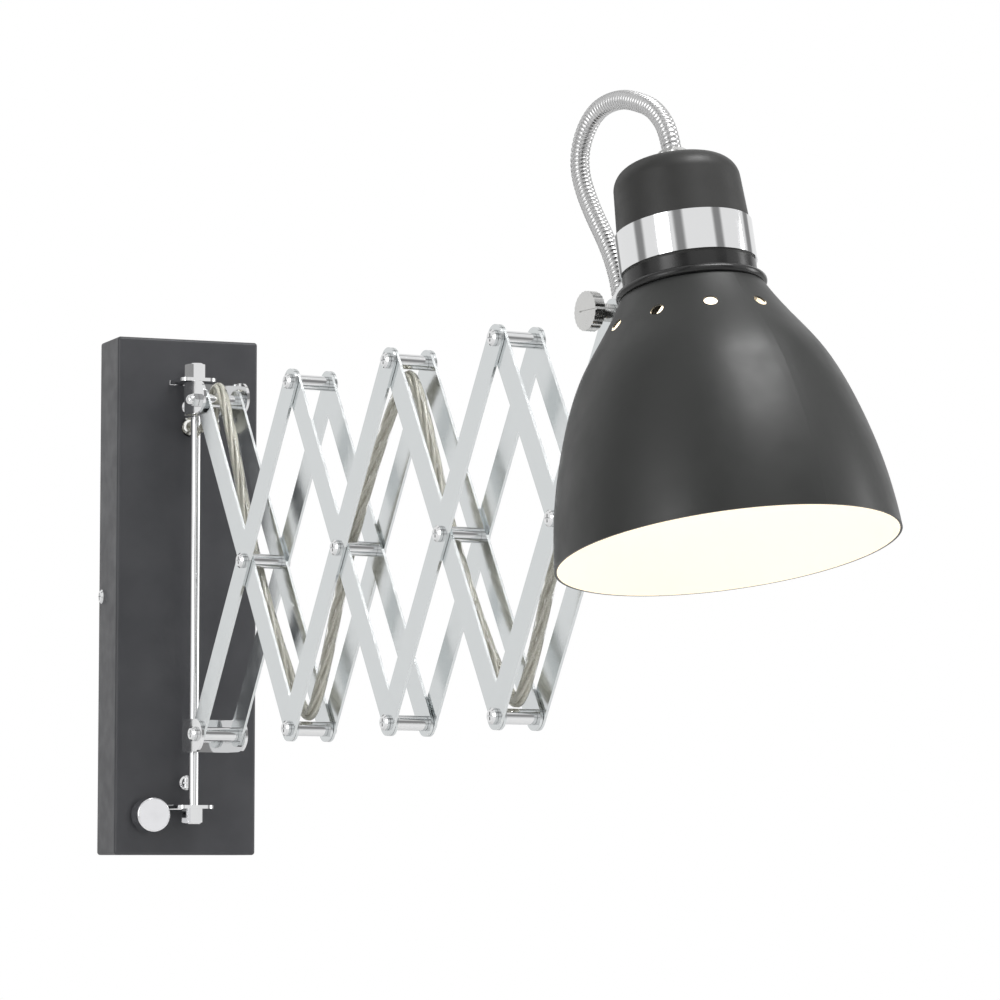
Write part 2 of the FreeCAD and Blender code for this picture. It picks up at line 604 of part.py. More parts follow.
def carrier(pin, rise):
    """Folded sheet on the rod: web in front of the rod, two arms to the pins, two tabs back over the rod."""
    middle, half = pin[1] + rise, CARRIER_HEIGHT / 2
    web_front = CARRIER_WEB + CARRIER_SHEET
    arm = capsule((CARRIER_WEB + half, middle), (pin[0], middle), half, CARRIER_INSIDE, CARRIER_SHEET)
    arm = arm.fuse(box((CARRIER_WEB, CARRIER_INSIDE, middle - half),
                       (CARRIER_WEB + half, CARRIER_OUTSIDE, middle + half)))
    web = box((CARRIER_WEB, -CARRIER_OUTSIDE, middle - half), (web_front, CARRIER_OUTSIDE, middle + half))
    body = web.fuse([arm, mirrored(arm)])
    for foot in (middle - half, middle + half - CARRIER_SHEET):
        tab = box((-CARRIER_TAB_BACK, -CARRIER_TAB_WIDTH / 2, foot),
                  (web_front, CARRIER_TAB_WIDTH / 2, foot + CARRIER_SHEET))
        ends = [e for e in tab.Edges if abs(e.CenterOfMass.x + CARRIER_TAB_BACK) < 0.01 and e.Length < 2 * CARRIER_SHEET]
        body = body.fuse(tab.makeFillet(0.45 * CARRIER_TAB_WIDTH, ends))
    rod_hole = rod(ROD_RADIUS + ROD_FIT, vec(0, 0, middle - half - 1), vec(0, 0, middle + half + 1))
    pin_hole = across(pin, PIN_RADIUS + PIN_FIT, -CARRIER_OUTSIDE - 1, CARRIER_OUTSIDE + 1)
    return swung(body.removeSplitter().cut([rod_hole, pin_hole]))


def carrier_bush(pin, rise):
    """Chrome sleeve round the rod, between the carrier's tabs."""
    half = CARRIER_HEIGHT / 2 - CARRIER_SHEET - SEAT_GAP / 2
    low, high = vec(0, 0, pin[1] + rise - half), vec(0, 0, pin[1] + rise + half)
    return swung(rod(BUSH_RADIUS, low, high).cut(rod(ROD_RADIUS + ROD_FIT, low - UP, high + UP)))


def acorn_nut():
    """Dome nut on +Z, seated at z = 0."""
    dome_radius = ACORN_FLATS / 2 - 0.1
    dome = Part.makeSphere(dome_radius, vec(0, 0, 0), UP, 0, 90, 360).translated(vec(0, 0, ACORN_HEX))
    nut = hexagon(ACORN_FLATS, ACORN_HEX).fuse(dome)
    return nut.cut(rod(PIN_RADIUS + ROD_FIT, vec(0, 0, -1), vec(0, 0, ACORN_HEX + 0.5)))


def top_carrier_pin():
    """Long bolt with its dome nut, the sleeve the cable goes over, and a washer beside each inner bar."""
    pin = top_pin(0)
    bolt = pan_screw(2 * CARRIER_OUTSIDE + SEAT_GAP + ACORN_HEX)
    pieces = [swung(on_axis(bolt, vec(pin[0], CARRIER_OUTSIDE + SEAT_GAP, pin[1]), ACROSS)),
              swung(on_axis(acorn_nut(), vec(pin[0], -CARRIER_OUTSIDE - SEAT_GAP, pin[1]), -ACROSS)),
              sleeve(pin, SLEEVE_HALF)]
    washer = across(pin, WASHER_RADIUS, OUTER_BAR - SEAT_GAP, CARRIER_INSIDE - SEAT_GAP)
    washer = washer.cut(across(pin, PIN_RADIUS + PIN_FIT, 0, CARRIER_INSIDE))
    return pieces + [swung(washer), swung(mirrored(washer))]


def bottom_carrier_pin():
    pin = bottom_pin(0)
    seat = CARRIER_OUTSIDE + SEAT_GAP
    return [sleeve(pin, OUTER_BAR - SEAT_GAP), side_screw(pin, -1, seat), side_screw(pin, 1, seat)]


# ---- head -------------------------------------------------------------------------------------------------
def profile_solid(inset):
    """Bell between the rim and the collar, with its radius reduced by inset."""
    outline = Part.BSplineCurve()
    outline.interpolate([vec(r - inset, 0, z) for r, z in SHADE_PROFILE])
    (foot_r, foot_z), (top_r, top_z) = SHADE_PROFILE[0], SHADE_PROFILE[-1]
    corners = [vec(top_r - inset, 0, top_z), vec(0, 0, top_z), vec(0, 0, foot_z), vec(foot_r - inset, 0, foot_z)]
    wire = Part.Wire([outline.toShape()] + [Part.LineSegment(a, b).toShape() for a, b in zip(corners, corners[1:])])
    return Part.Face(wire).revolve(vec(0, 0, 0), UP, 360)


def shade():
    """Bell shade, open at both ends, with a ring of round vents cut square to its wall."""
    wall = profile_solid(0).cut(profile_solid(SHADE_WALL * 1.15))
    (low_r, low_z), (high_r, high_z) = SHADE_PROFILE[3], SHADE_PROFILE[4]
    share = (VENT_HEIGHT - low_z) / (high_z - low_z)
    radius = low_r + share * (high_r - low_r)
    outwards = vec(high_z - low_z, 0, low_r - high_r).normalize()
    vents = []
    for i in range(VENTS):
        drill = rod(VENT_RADIUS, vec(radius, 0, VENT_HEIGHT) - outwards * 5, vec(radius, 0, VENT_HEIGHT) + outwards * 8)
        drill.rotate(vec(0, 0, 0), UP, VENT_PHASE + i * 360.0 / VENTS)
        vents.append(drill)
    return on_head(wall.cut(vents))


def collar():
    """Beaded ring that closes the shade's top and carries the cap."""
    foot = SHADE_PROFILE[-1][1] + SEAT_GAP
    spigot = CAP_RADIUS - CAP_WALL - 0.2
    ring = revolved([(spigot - COLLAR_WALL, foot - 5.0), (spigot, foot - 5.0), (spigot, foot),
                     (COLLAR_NECK_RADIUS, foot), (COLLAR_NECK_RADIUS, CAP_FOOT - SEAT_GAP),
                     (spigot, CAP_FOOT - SEAT_GAP), (spigot, CAP_FOOT + 6.0), (spigot - COLLAR_WALL, CAP_FOOT + 6.0)])
    bead = Part.makeTorus(COLLAR_BEAD_REACH - COLLAR_BEAD_RADIUS, COLLAR_BEAD_RADIUS,
                          vec(0, 0, foot + COLLAR_BEAD_RADIUS))
    return on_head(ring.fuse(bead))


def cap_outline(inset):
    """Half section of the cap, reduced all round by inset."""
    foot, top = CAP_FOOT, CAP_SEAT - inset
    low_r, high_r, corner = CAP_RADIUS - inset, CAP_TOP_RADIUS - inset, CAP_CORNER - inset
    turn = vec(high_r - corner * (1 - math.cos(math.pi / 4)), 0, top - corner * (1 - math.sin(math.pi / 4)))
    points = [vec(0, 0, foot), vec(low_r, 0, foot), vec(low_r, 0, BAND_FOOT + BAND_HEIGHT + 0.4),
              vec(high_r, 0, top - corner)]
    edges = [Part.LineSegment(a, b).toShape() for a, b in zip(points, points[1:])]
    edges.append(Part.Arc(vec(high_r, 0, top - corner), turn, vec(high_r - corner, 0, top)).toShape())
    edges.append(Part.LineSegment(vec(high_r - corner, 0, top), vec(0, 0, top)).toShape())
    edges.append(Part.LineSegment(vec(0, 0, top), vec(0, 0, foot)).toShape())
    return Part.Face(Part.Wire(edges)).revolve(vec(0, 0, 0), UP, 360)


def cap():
    shell = cap_outline(0).cut(cap_outline(CAP_WALL))
    return on_head(shell.cut(rod(FITTING_NECK_RADIUS + 0.1, vec(0, 0, CAP_FOOT), vec(0, 0, CAP_SEAT + 1))))


def tangent_point(centre, radius, point, side):
    """Where the line from a point touches a circle, all in (u, z)."""
    du, dz = point[0] - centre[0], point[1] - centre[1]
    angle = math.atan2(dz, du) + side * math.acos(radius / math.hypot(du, dz))
    return vec(centre[0] + radius * math.cos(angle), 0, centre[1] + radius * math.sin(angle))


def head_bracket():
    """Strip that wraps the cap as a band; its two ends run on as legs to the head pin."""
    inner, outer = CAP_RADIUS + BAND_FIT, CAP_RADIUS + BAND_FIT + BAND_SHEET
    low, high = vec(0, 0, BAND_FOOT), vec(0, 0, BAND_FOOT + BAND_HEIGHT)
    band = rod(outer, low, high).cut(rod(inner, low - UP, high + UP))
    frame = head_frame()
    band.Placement = frame
    middle = frame.multVec((low + high) / 2)
    band = band.cut(box((middle.x - 2 * outer, -INNER_BAR, middle.z - outer), (middle.x, INNER_BAR, middle.z + outer)))
    core = rod(inner + BAND_SHEET / 2, low - UP * 20, high + UP * 20)
    core.Placement = frame
    pin = top_pin(BAYS)
    root_u = -math.sqrt(inner ** 2 - SCREW_SEAT ** 2) + 3.0
    edge_low = frame.multVec(vec(root_u, 0, BAND_FOOT + 0.6))
    edge_high = frame.multVec(vec(root_u, 0, BAND_FOOT + BAND_HEIGHT - 0.6))
    touch_low = tangent_point(pin, BAR_WIDTH / 2, (edge_low.x, edge_low.z), -1)
    touch_high = tangent_point(pin, BAR_WIDTH / 2, (edge_high.x, edge_high.z), 1)
    centre = vec(pin[0], 0, pin[1])
    flat_low, flat_high = vec(edge_low.x, 0, edge_low.z), vec(edge_high.x, 0, edge_high.z)
    tip = centre - (flat_low - centre).normalize() * (BAR_WIDTH / 2)
    wire = Part.Wire([Part.LineSegment(flat_low, flat_high).toShape(),
                      Part.LineSegment(flat_high, touch_high).toShape(),
                      Part.Arc(touch_high, tip, touch_low).toShape(),
                      Part.LineSegment(touch_low, flat_low).toShape()])
    leg = Part.Face(wire).extrude(vec(0, BAR_SHEET, 0)).translated(vec(0, INNER_BAR, 0))
    leg = leg.cut(across(pin, PIN_RADIUS + PIN_FIT, 0, SCREW_SEAT))
    legs = [piece.cut(core) for piece in (leg, mirrored(leg))]
    return swung(band.fuse(legs).removeSplitter())


def cap_fitting():
    """Knurled cable fitting on the cap: socket for the sheath above, neck and nut inside the cap."""
    knob = knurled(FITTING_RADIUS, FITTING_HEIGHT)
    lead_in = FITTING_HEIGHT * 0.3
    knob = knob.common(revolved([(0, 0), (FITTING_RADIUS, 0), (FITTING_RADIUS, FITTING_HEIGHT - lead_in),
                                 (FITTING_RADIUS - lead_in, FITTING_HEIGHT), (0, FITTING_HEIGHT)]))
    neck = rod(FITTING_NECK_RADIUS, vec(0, 0, -CAP_WALL - 5.0), vec(0, 0, 0))
    nut = hexagon(14.0, 3.0).translated(vec(0, 0, -CAP_WALL - 3.0))
    socket = rod(SHEATH_RADIUS + SOCKET_FIT, vec(0, 0, FITTING_HEIGHT - SOCKET_DEPTH), vec(0, 0, FITTING_HEIGHT + 1))
    bore = rod(CABLE_RADIUS + ROD_FIT, vec(0, 0, -CAP_WALL - 6.0), vec(0, 0, FITTING_HEIGHT))
    fitting = knob.fuse([neck, nut]).cut([socket, bore])
    return on_head(fitting.translated(vec(0, 0, CAP_SEAT)))


def lamp_holder():
    """Screw-base holder hung from the fitting's nut, with its skirt down to the collar."""
    bore, crown = BULB_NECK_RADIUS + 0.7, HOLDER_TOP - HOLDER_CROWN
    waist, skirt_top = HOLDER_RADIUS - 4.0, HOLDER_FOOT + 20.0
    body = revolved([(0, HOLDER_TOP), (9.0, HOLDER_TOP), (waist, HOLDER_TOP - 10.0), (waist, skirt_top + 3.0),
                     (HOLDER_RADIUS, skirt_top), (HOLDER_RADIUS, HOLDER_FOOT), (bore, HOLDER_FOOT), (bore, crown),
                     (0, crown)])
    flange = rod(CAP_RADIUS - CAP_WALL - COLLAR_WALL - 0.4, vec(0, 0, CAP_FOOT + 1.0), vec(0, 0, CAP_FOOT + 3.0))
    flange = flange.cut(rod(HOLDER_RADIUS - 0.5, vec(0, 0, CAP_FOOT), vec(0, 0, CAP_FOOT + 4.0)))
    return on_head(body.fuse(flange))


def bulb():
    """Globe lamp: screw base in the holder, neck and round glass."""
    base_top = HOLDER_TOP - HOLDER_CROWN - SLIP
    tip = HOLDER_FOOT - BULB_DROP
    centre = tip + BULB_RADIUS
    shoulder = math.radians(50)
    glass_r, glass_z = BULB_RADIUS * math.cos(shoulder), centre + BULB_RADIUS * math.sin(shoulder)
    edges = [Part.Arc(vec(0, 0, tip), vec(BULB_RADIUS, 0, centre), vec(glass_r, 0, glass_z)).toShape()]
    points = [vec(glass_r, 0, glass_z), vec(BULB_NECK_RADIUS, 0, HOLDER_FOOT), vec(BULB_NECK_RADIUS, 0, base_top - 6),
              vec(5, 0, base_top), vec(0, 0, base_top), vec(0, 0, tip)]
    edges += [Part.LineSegment(a, b).toShape() for a, b in zip(points, points[1:])]
    body = Part.Face(Part.Wire(edges)).revolve(vec(0, 0, 0), UP, 360)
    return on_head(body.cut(Part.makeSphere(BULB_RADIUS - BULB_GLASS, vec(0, 0, centre))))


def thumb_screw():
    """Knurled screw that clamps the head at its pin: long collar, slotted face."""
    pin = top_pin(BAYS)
    collar_length = THUMB_STANDOFF - SCREW_SEAT
    head = knurled(THUMB_RADIUS, THUMB_HEIGHT).translated(vec(0, 0, collar_length))
    slot = box((-0.5 * THUMB_RADIUS, -0.4, collar_length + THUMB_HEIGHT - 0.6),
               (THUMB_RADIUS, 0.4, collar_length + THUMB_HEIGHT + 1))
    screw = head.cut(slot).fuse([rod(THUMB_COLLAR_RADIUS, vec(0, 0, 0), vec(0, 0, collar_length)),
                                 rod(PIN_RADIUS, vec(0, 0, -SCREW_GRIP), vec(0, 0, 0))])
    return swung(on_axis(screw.removeSplitter(), vec(pin[0], -SCREW_SEAT, pin[1]), -ACROSS))


def sheath_ferrule():
    """Metal end of the wound sheath, beside the head pin's sleeve: the cable enters from below."""
    low, high = vec(*ferrule_point(-FERRULE_HALF)), vec(*ferrule_point(FERRULE_HALF))
    axis = (high - low).normalize()
    body = rod(SHEATH_RADIUS + FERRULE_WALL, low, high)
    socket = rod(SHEATH_RADIUS + SOCKET_FIT, high - axis * SOCKET_DEPTH, high + axis)
    return swung(body.cut([socket, rod(CABLE_RADIUS + ROD_FIT, low - axis, high)]))


def sheath():
    """Wound steel conduit: turns close together along the route, with the cable's bore inside."""
    route = sheath_route()
    path = Part.Wire(route.edges())
    turns = int(path.Length / SHEATH_PITCH)
    step = path.Length / turns
    circles = []
    for i in range(turns):
        for share, depth in SHEATH_TURN:
            circles.append(section_at(path, (i + share) * step, SHEATH_RADIUS - depth))
    circles.append(section_at(path, path.Length, SHEATH_RADIUS - SHEATH_RIB))
    print("sheath", turns, "turns,", round(path.Length, 1), "mm, least radius", round(route.tightest(), 1))
    outside = Part.makeLoft(circles, True, True)
    return swung(outside.cut(tube(route.edges(), SHEATH_RADIUS - SHEATH_WALL)))


def section_at(path, distance, radius):
    """Circle square to a path at a distance along it, its X axis across the arm."""
    for edge in path.OrderedEdges:
        if distance <= edge.Length + 1e-6:
            break
        distance -= edge.Length
    parameter = edge.getParameterByLength(min(distance, edge.Length))
    circle = Part.Circle(edge.valueAt(parameter), edge.tangentAt(parameter), radius)
    circle.XAxis = ACROSS
    return Part.Wire([circle.toShape()])


# ---- all nodes ---------------------------------------------------------------------------------------------
def arm_nodes():
    """Bars and pivots of every link, named a0, b0, a1 ... from the wall; a links lie inside b links."""
    nodes = {}
    for i in range(BAYS):
        last = i == BAYS - 1
        a_pins = [top_pin(i), middle_pin(i)] + ([] if last else [bottom_pin(i + 1)])
        b_pins = [bottom_pin(i), middle_pin(i), top_pin(i + 1)]
        nodes["bars_a%d" % i] = bar_pair(a_pins, INNER_BAR)
        nodes["bars_b%d" % i] = bar_pair(b_pins, OUTER_BAR)
        a_owned, b_owned = ([middle_pin(i)], []) if i % 2 == 0 else ([], [middle_pin(i)])
        if not last:
            a_owned.append(bottom_pin(i + 1))
            b_owned.append(top_pin(i + 1))
        for name, owned in (("a", a_owned), ("b", b_owned)):
            if owned:
                nodes["pivots_%s%d" % (name, i)] = pivot_set(owned)
    head_pin = top_pin(BAYS)
    nodes["pivots_b%d" % (BAYS - 1)] += [sleeve(head_pin, SLEEVE_HALF), side_screw(head_pin, 1)]
    return nodes


def cable_nodes():
    """Cable in stretches: one held along each link, a soft bend at each pin between them."""
    route, first, bends = cable_route()
    print("cable %.0f mm, radii" % Part.Wire(route.edges()).Length, [round(arc[3], 1) for arc in route.arcs])
    nodes = {"cable_wall_loop": tube(route.edges(None, (first, CABLE_BEND_REACH)), CABLE_RADIUS)}
    start = (first, CABLE_BEND_REACH)
    for i, corner in enumerate(bends):
        link = ("cable_b%d" if i % 2 else "cable_a%d") % i
        nodes[link] = tube(route.edges(start, (corner, -CABLE_BEND_REACH)), CABLE_RADIUS)
        nodes["cable_bend_%d" % (i + 1)] = tube(
            route.edges((corner - 1, run_back(route, corner)), (corner + 1, CABLE_BEND_REACH)), CABLE_RADIUS)
        start = (corner + 1, CABLE_BEND_REACH)
    nodes["cable_b%d" % (BAYS - 1)] = tube(route.edges(start), CABLE_RADIUS)
    return {name: swung(shape) for name, shape in nodes.items()}


def run_back(route, corner):
    """Distance on from the point before a corner to where its soft stretch starts."""
    return (route.points[corner] - route.points[corner - 1]).Length - CABLE_BEND_REACH


def all_nodes():
    nodes = {
        "wall_box": wall_box(), "wall_bracket": wall_bracket(), "cover_screws": cover_screws(),
        "terminal_block": terminal_block(), "inner_leads": inner_leads(), "dimmer_module": dimmer_module(),
        "rod_brackets": rod_brackets(), "rod_bracket_screws": rod_bracket_screws(), "pivot_rod": pivot_rod(),
        "rod_nuts": rod_nuts(), "cable_gland": cable_gland(), "dimmer_knob": dimmer_knob(),
        "dimmer_shaft": dimmer_shaft(), "top_carrier": carrier(top_pin(0), TOP_CARRIER_RISE),
        "top_carrier_bush": carrier_bush(top_pin(0), TOP_CARRIER_RISE), "top_carrier_pin": top_carrier_pin(),
        "bottom_carrier": carrier(bottom_pin(0), BOTTOM_CARRIER_RISE),
        "bottom_carrier_bush": carrier_bush(bottom_pin(0), BOTTOM_CARRIER_RISE),
        "bottom_carrier_pin": bottom_carrier_pin(), "shade": shade(), "collar": collar(), "cap": cap(),
        "head_bracket": head_bracket(), "cap_fitting": cap_fitting(), "lamp_holder": lamp_holder(), "bulb": bulb(),
        "thumb_screw": thumb_screw(), "sheath_ferrule": sheath_ferrule(), "sheath": sheath(),
    }
    nodes.update(arm_nodes())
    nodes.update(cable_nodes())
    return nodes


os.makedirs("parts", exist_ok=True)
for name, piece in all_nodes().items():
    solid = Part.makeCompound(piece) if isinstance(piece, list) else piece
    solid.exportStep(os.path.join("parts", name + ".step"))
    print(name, len(solid.Solids), "solids,", round(solid.Volume), "mm3, valid", solid.isValid())
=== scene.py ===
# %% [markdown]
# # Accordion wall lamp
# A tall black box hangs on the wall and carries an upright chrome rod. A scissor arm of flat chrome bars
# swings on the rod and folds like an accordion, and a bell shade tilts on the last pin of the arm. The
# hard parts come from the CAD model, which fixes every size and place, so this script loads them first
# and never moves them. What is left for Blender is everything soft or wound, the finishes, and the light.

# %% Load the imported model
import math

import bmesh
import bpy
from mathutils import Matrix, Vector


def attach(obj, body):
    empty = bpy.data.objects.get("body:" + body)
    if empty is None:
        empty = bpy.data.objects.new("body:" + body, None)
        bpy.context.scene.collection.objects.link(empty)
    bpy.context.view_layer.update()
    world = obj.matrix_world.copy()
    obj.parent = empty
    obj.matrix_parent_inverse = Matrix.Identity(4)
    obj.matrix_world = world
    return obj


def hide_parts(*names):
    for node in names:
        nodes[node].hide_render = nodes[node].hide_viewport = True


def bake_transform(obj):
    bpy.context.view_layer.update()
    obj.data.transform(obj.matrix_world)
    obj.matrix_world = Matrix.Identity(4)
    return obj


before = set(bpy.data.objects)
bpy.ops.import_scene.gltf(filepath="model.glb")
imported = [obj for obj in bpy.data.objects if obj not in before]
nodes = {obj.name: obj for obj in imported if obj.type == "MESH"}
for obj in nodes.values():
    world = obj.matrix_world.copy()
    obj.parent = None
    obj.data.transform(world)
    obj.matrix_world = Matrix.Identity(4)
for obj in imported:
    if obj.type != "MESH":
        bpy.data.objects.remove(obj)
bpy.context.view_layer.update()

MM = 0.001

# %% [markdown]
# ## Camera
# The lamp is seen from a little below and from its left. A long lens far away keeps the lattice nearly
# parallel. Position and lens come from matching the corners of the box, the pins of the lattice and the
# rim of the shade, and the camera is set by the point it looks at, because that reads more easily than
# three angles.

# %% Camera
AIM = Vector((0.20989, 0.0, 0.06556))
AZIMUTH = math.radians(-21.843)
ELEVATION = math.radians(-5.014)
DISTANCE = 2.52837
back = Vector((math.sin(AZIMUTH) * math.cos(ELEVATION), -math.cos(AZIMUTH) * math.cos(ELEVATION),
               math.sin(ELEVATION)))
camera = bpy.data.objects.new("camera", bpy.data.cameras.new("camera"))
bpy.context.scene.collection.objects.link(camera)
camera.data.sensor_width = 36.0
camera.data.lens = 149.549
camera.location = AIM + back * DISTANCE
camera.rotation_euler = (-back).to_track_quat("-Z", "Y").to_euler()
camera.data.clip_end = 200.0
bpy.context.scene.camera = camera
print("camera at", [round(v, 3) for v in camera.location])

# %% [markdown]
# ## Where things are on the arm
# The arm stands nine degrees to the right of straight out. It is easier to think of it in its own frame:
# u runs out along the arm from the rod, y across it and z up. One function turns such a point, in
# millimetres, into a place on the lamp, in metres. The sizes below repeat the ones the CAD parts were
# made with.

# %% The arm's frame and its pins
BOX_FRONT = -35.0
ROD_Y = -50.0
SWING = math.radians(9.0)
BAYS = 4
LINK = 220.0
SPREAD = math.radians(60.0)
BAY = LINK * math.cos(SPREAD)
DROP = LINK * math.sin(SPREAD)
PIN_REACH = 30.0
PIN_TOP = 109.0


def on_arm(u, y, z):
    """A point of the arm's frame, in millimetres, as a place on the lamp, in metres."""
    across = Vector((math.cos(SWING), math.sin(SWING), 0))
    out = Vector((math.sin(SWING), -math.cos(SWING), 0))
    return (Vector((0, ROD_Y, 0)) + out * u + across * y + Vector((0, 0, z))) * MM


def top_pin(i):
    return PIN_REACH + i * BAY, PIN_TOP


def bottom_pin(i):
    return PIN_REACH + i * BAY, PIN_TOP - DROP


def middle_pin(i):
    return PIN_REACH + (i + 0.5) * BAY, PIN_TOP - DROP / 2


print("head pin at", [round(v, 3) for v in on_arm(top_pin(BAYS)[0], 0, PIN_TOP)])

# %% [markdown]
# ## Route of the cable
# The mains cable of such a lamp is a round clear PVC flex. It leaves the gland in the box, rises beside
# the rod, goes over the first pin and then zigzags between the two rows of bars: under the arm's lower
# pins it rests on the spacer sleeves, at the top it hangs under one. The same points as in the CAD part go
# into a NURBS spline, which is what gives flex its even, springy bends. The cable is held by the arm all
# the way, so it isn't a free cord.

# %% Route of the cable
CABLE_RADIUS = 3.3
CABLE_GAP = 0.3
SLEEVE_RADIUS = 4.0
WRAP = SLEEVE_RADIUS + CABLE_RADIUS + CABLE_GAP
MID_OFFSET = 10.4
BEND_HALF = 8.1
SHEATH_RADIUS = 4.8
FERRULE_WALL = 0.6
FERRULE_HALF = 8.0
FERRULE_HEADING = math.radians(95.0)
GLAND = (1.5, BOX_FRONT, 98.5)


def spline_line(points, name, resolution=16):
    """Evenly smooth line through given control points, as a list of points."""
    curve = bpy.data.curves.new(name, "CURVE")
    curve.dimensions = "3D"
    spline = curve.splines.new("NURBS")
    spline.points.add(len(points) - 1)
    for knot, place in zip(spline.points, points):
        knot.co = (*place, 1.0)
    spline.order_u = 3
    spline.use_endpoint_u = True
    spline.resolution_u = resolution
    carrier = bpy.data.objects.new(name, curve)
    mesh = bpy.data.meshes.new_from_object(carrier)
    line = [v.co.copy() for v in mesh.vertices]
    bpy.data.objects.remove(carrier)
    bpy.data.curves.remove(curve)
    bpy.data.meshes.remove(mesh)
    return line


def line_length(line):
    return sum((b - a).length for a, b in zip(line, line[1:]))


def ferrule_point(t):
    """Place t millimetres above the head pin's level on the axis of the sheath's ferrule."""
    u, z = top_pin(BAYS)
    away = SLEEVE_RADIUS + SHEATH_RADIUS + FERRULE_WALL + CABLE_GAP
    level, rise = math.cos(FERRULE_HEADING), math.sin(FERRULE_HEADING)
    return on_arm(u - away * rise + t * level, 0, z + away * level + t * rise)


gland_points = [Vector(p) * MM for p in (GLAND, (1.6, -42.6, 98.5), (10.2, -47.2, 97.1), (9.2, -59.0, 95.3))]
rise_u = PIN_REACH - WRAP - 0.5
cable_points = gland_points + [on_arm(rise_u, 0, 94.5), on_arm(rise_u, 0, PIN_TOP + WRAP + 0.6),
                               on_arm(PIN_REACH + 5.2, 0, PIN_TOP + WRAP + 0.4)]
mid_points = []
for bay in range(BAYS):
    rising = bay % 2
    u, z = middle_pin(bay)
    mid_points.append(on_arm(u - MID_OFFSET * math.sin(SPREAD), 0,
                             z + MID_OFFSET * math.cos(SPREAD) * (1 if rising else -1)))
    cable_points.append(mid_points[-1])
    if bay < BAYS - 1:
        u, z = top_pin(bay + 1) if rising else bottom_pin(bay + 1)
        rest_z = z - WRAP if rising else z + WRAP
        cable_points += [on_arm(u - BEND_HALF, 0, rest_z), on_arm(u + BEND_HALF, 0, rest_z)]
u, z = top_pin(BAYS)
cable_points += [on_arm(u - BEND_HALF, 0, z - 17.0), ferrule_point(-FERRULE_HALF)]
cable_line = spline_line(cable_points, "cable_route")
print("cable on the arm is", round(line_length(cable_line), 3), "m long")

# %% [markdown]
# ## Route of the wound sheath
# Above the head pin the cable disappears into a wound steel sheath. It stands up from its ferrule, leans
# back over the arm and curls round into the fitting on top of the cap, so that the shade can tilt without
# pulling on the cable. The head has a frame of its own: its origin is the middle of the rim and its z
# axis is the axis of the shade.

# %% Route of the sheath
HEAD_TURN = Matrix.Rotation(math.radians(1.3), 3, "X") @ Matrix.Rotation(math.radians(-11.6), 3, "Y")
HEAD_FROM_PIN = HEAD_TURN @ Vector((54.6, 0, -133.6))
HEAD_SHIFT = -2.7
CAP_SEAT = 190.5
SHEATH_FOOT = 4.1
FERRULE_RUN = 24.0
FITTING_RUN = 16.6
FITTING_FLOOR = 2.7


def on_head(x, y, z):
    """A point of the head's frame, in millimetres, as a place on the lamp, in metres."""
    u, top = top_pin(BAYS)
    place = Vector((u, HEAD_SHIFT, top)) + HEAD_FROM_PIN + HEAD_TURN @ Vector((x, y, z))
    return on_arm(*place)


u, z = top_pin(BAYS)
over_the_arm = [(-46.5, 0.0, 66.5), (-50.3, -0.3, 87.7), (-34.9, -1.0, 104.7), (-9.7, -2.0, 107.5),
                (13.4, -3.0, 101.1), (26.5, -3.8, 95.0)]
sheath_points = [ferrule_point(SHEATH_FOOT), ferrule_point(FERRULE_RUN)]
sheath_points += [on_arm(u + du, y, z + dz) for du, y, dz in over_the_arm]
sheath_points += [on_head(0, 0, CAP_SEAT + FITTING_RUN), on_head(0, 0, CAP_SEAT + FITTING_FLOOR)]
sheath_line = spline_line(sheath_points, "sheath_route")
print("sheath is", round(line_length(sheath_line), 3), "m long")

# %% [markdown]
# ## Floor, world and lamps
# The photograph has a plain white ground, so the world is white for the camera, and also for what shines
# through or off a surface, because metal and clear plastic only look right with something bright round
# them. Polished metal also needs something darker to draw its edges, so soft grey strips stand in the
# world's glossy side, like the flags a photographer hangs beside chrome. A big soft lamp above draws the
# long highlight on the shade.


# %% Node helper
def node(tree, kind, feed=None, **settings):
    """Adds a shader node, sets its options and its inputs, each a plain value or another node's output."""
    made = tree.nodes.new(kind)
    for key, value in settings.items():
        setattr(made, key, value)
    for socket, value in (feed or {}).items():
        if isinstance(value, bpy.types.NodeSocket):
            tree.links.new(value, made.inputs[socket])
        else:
            made.inputs[socket].default_value = value
    return made


def maths(tree, operation, a, b=0.0, clamp=False):
    """One step of arithmetic between two numbers or outputs."""
    return node(tree, "ShaderNodeMath", {0: a, 1: b}, operation=operation, use_clamp=clamp).outputs[0]


# %% World
GROUND_WHITE = 1.0
SOFT_FILL = 0.62
STRIPS_ROUND = 5.0
STRIP_LEVEL = 0.3
GLOSS_LEVEL = 0.9


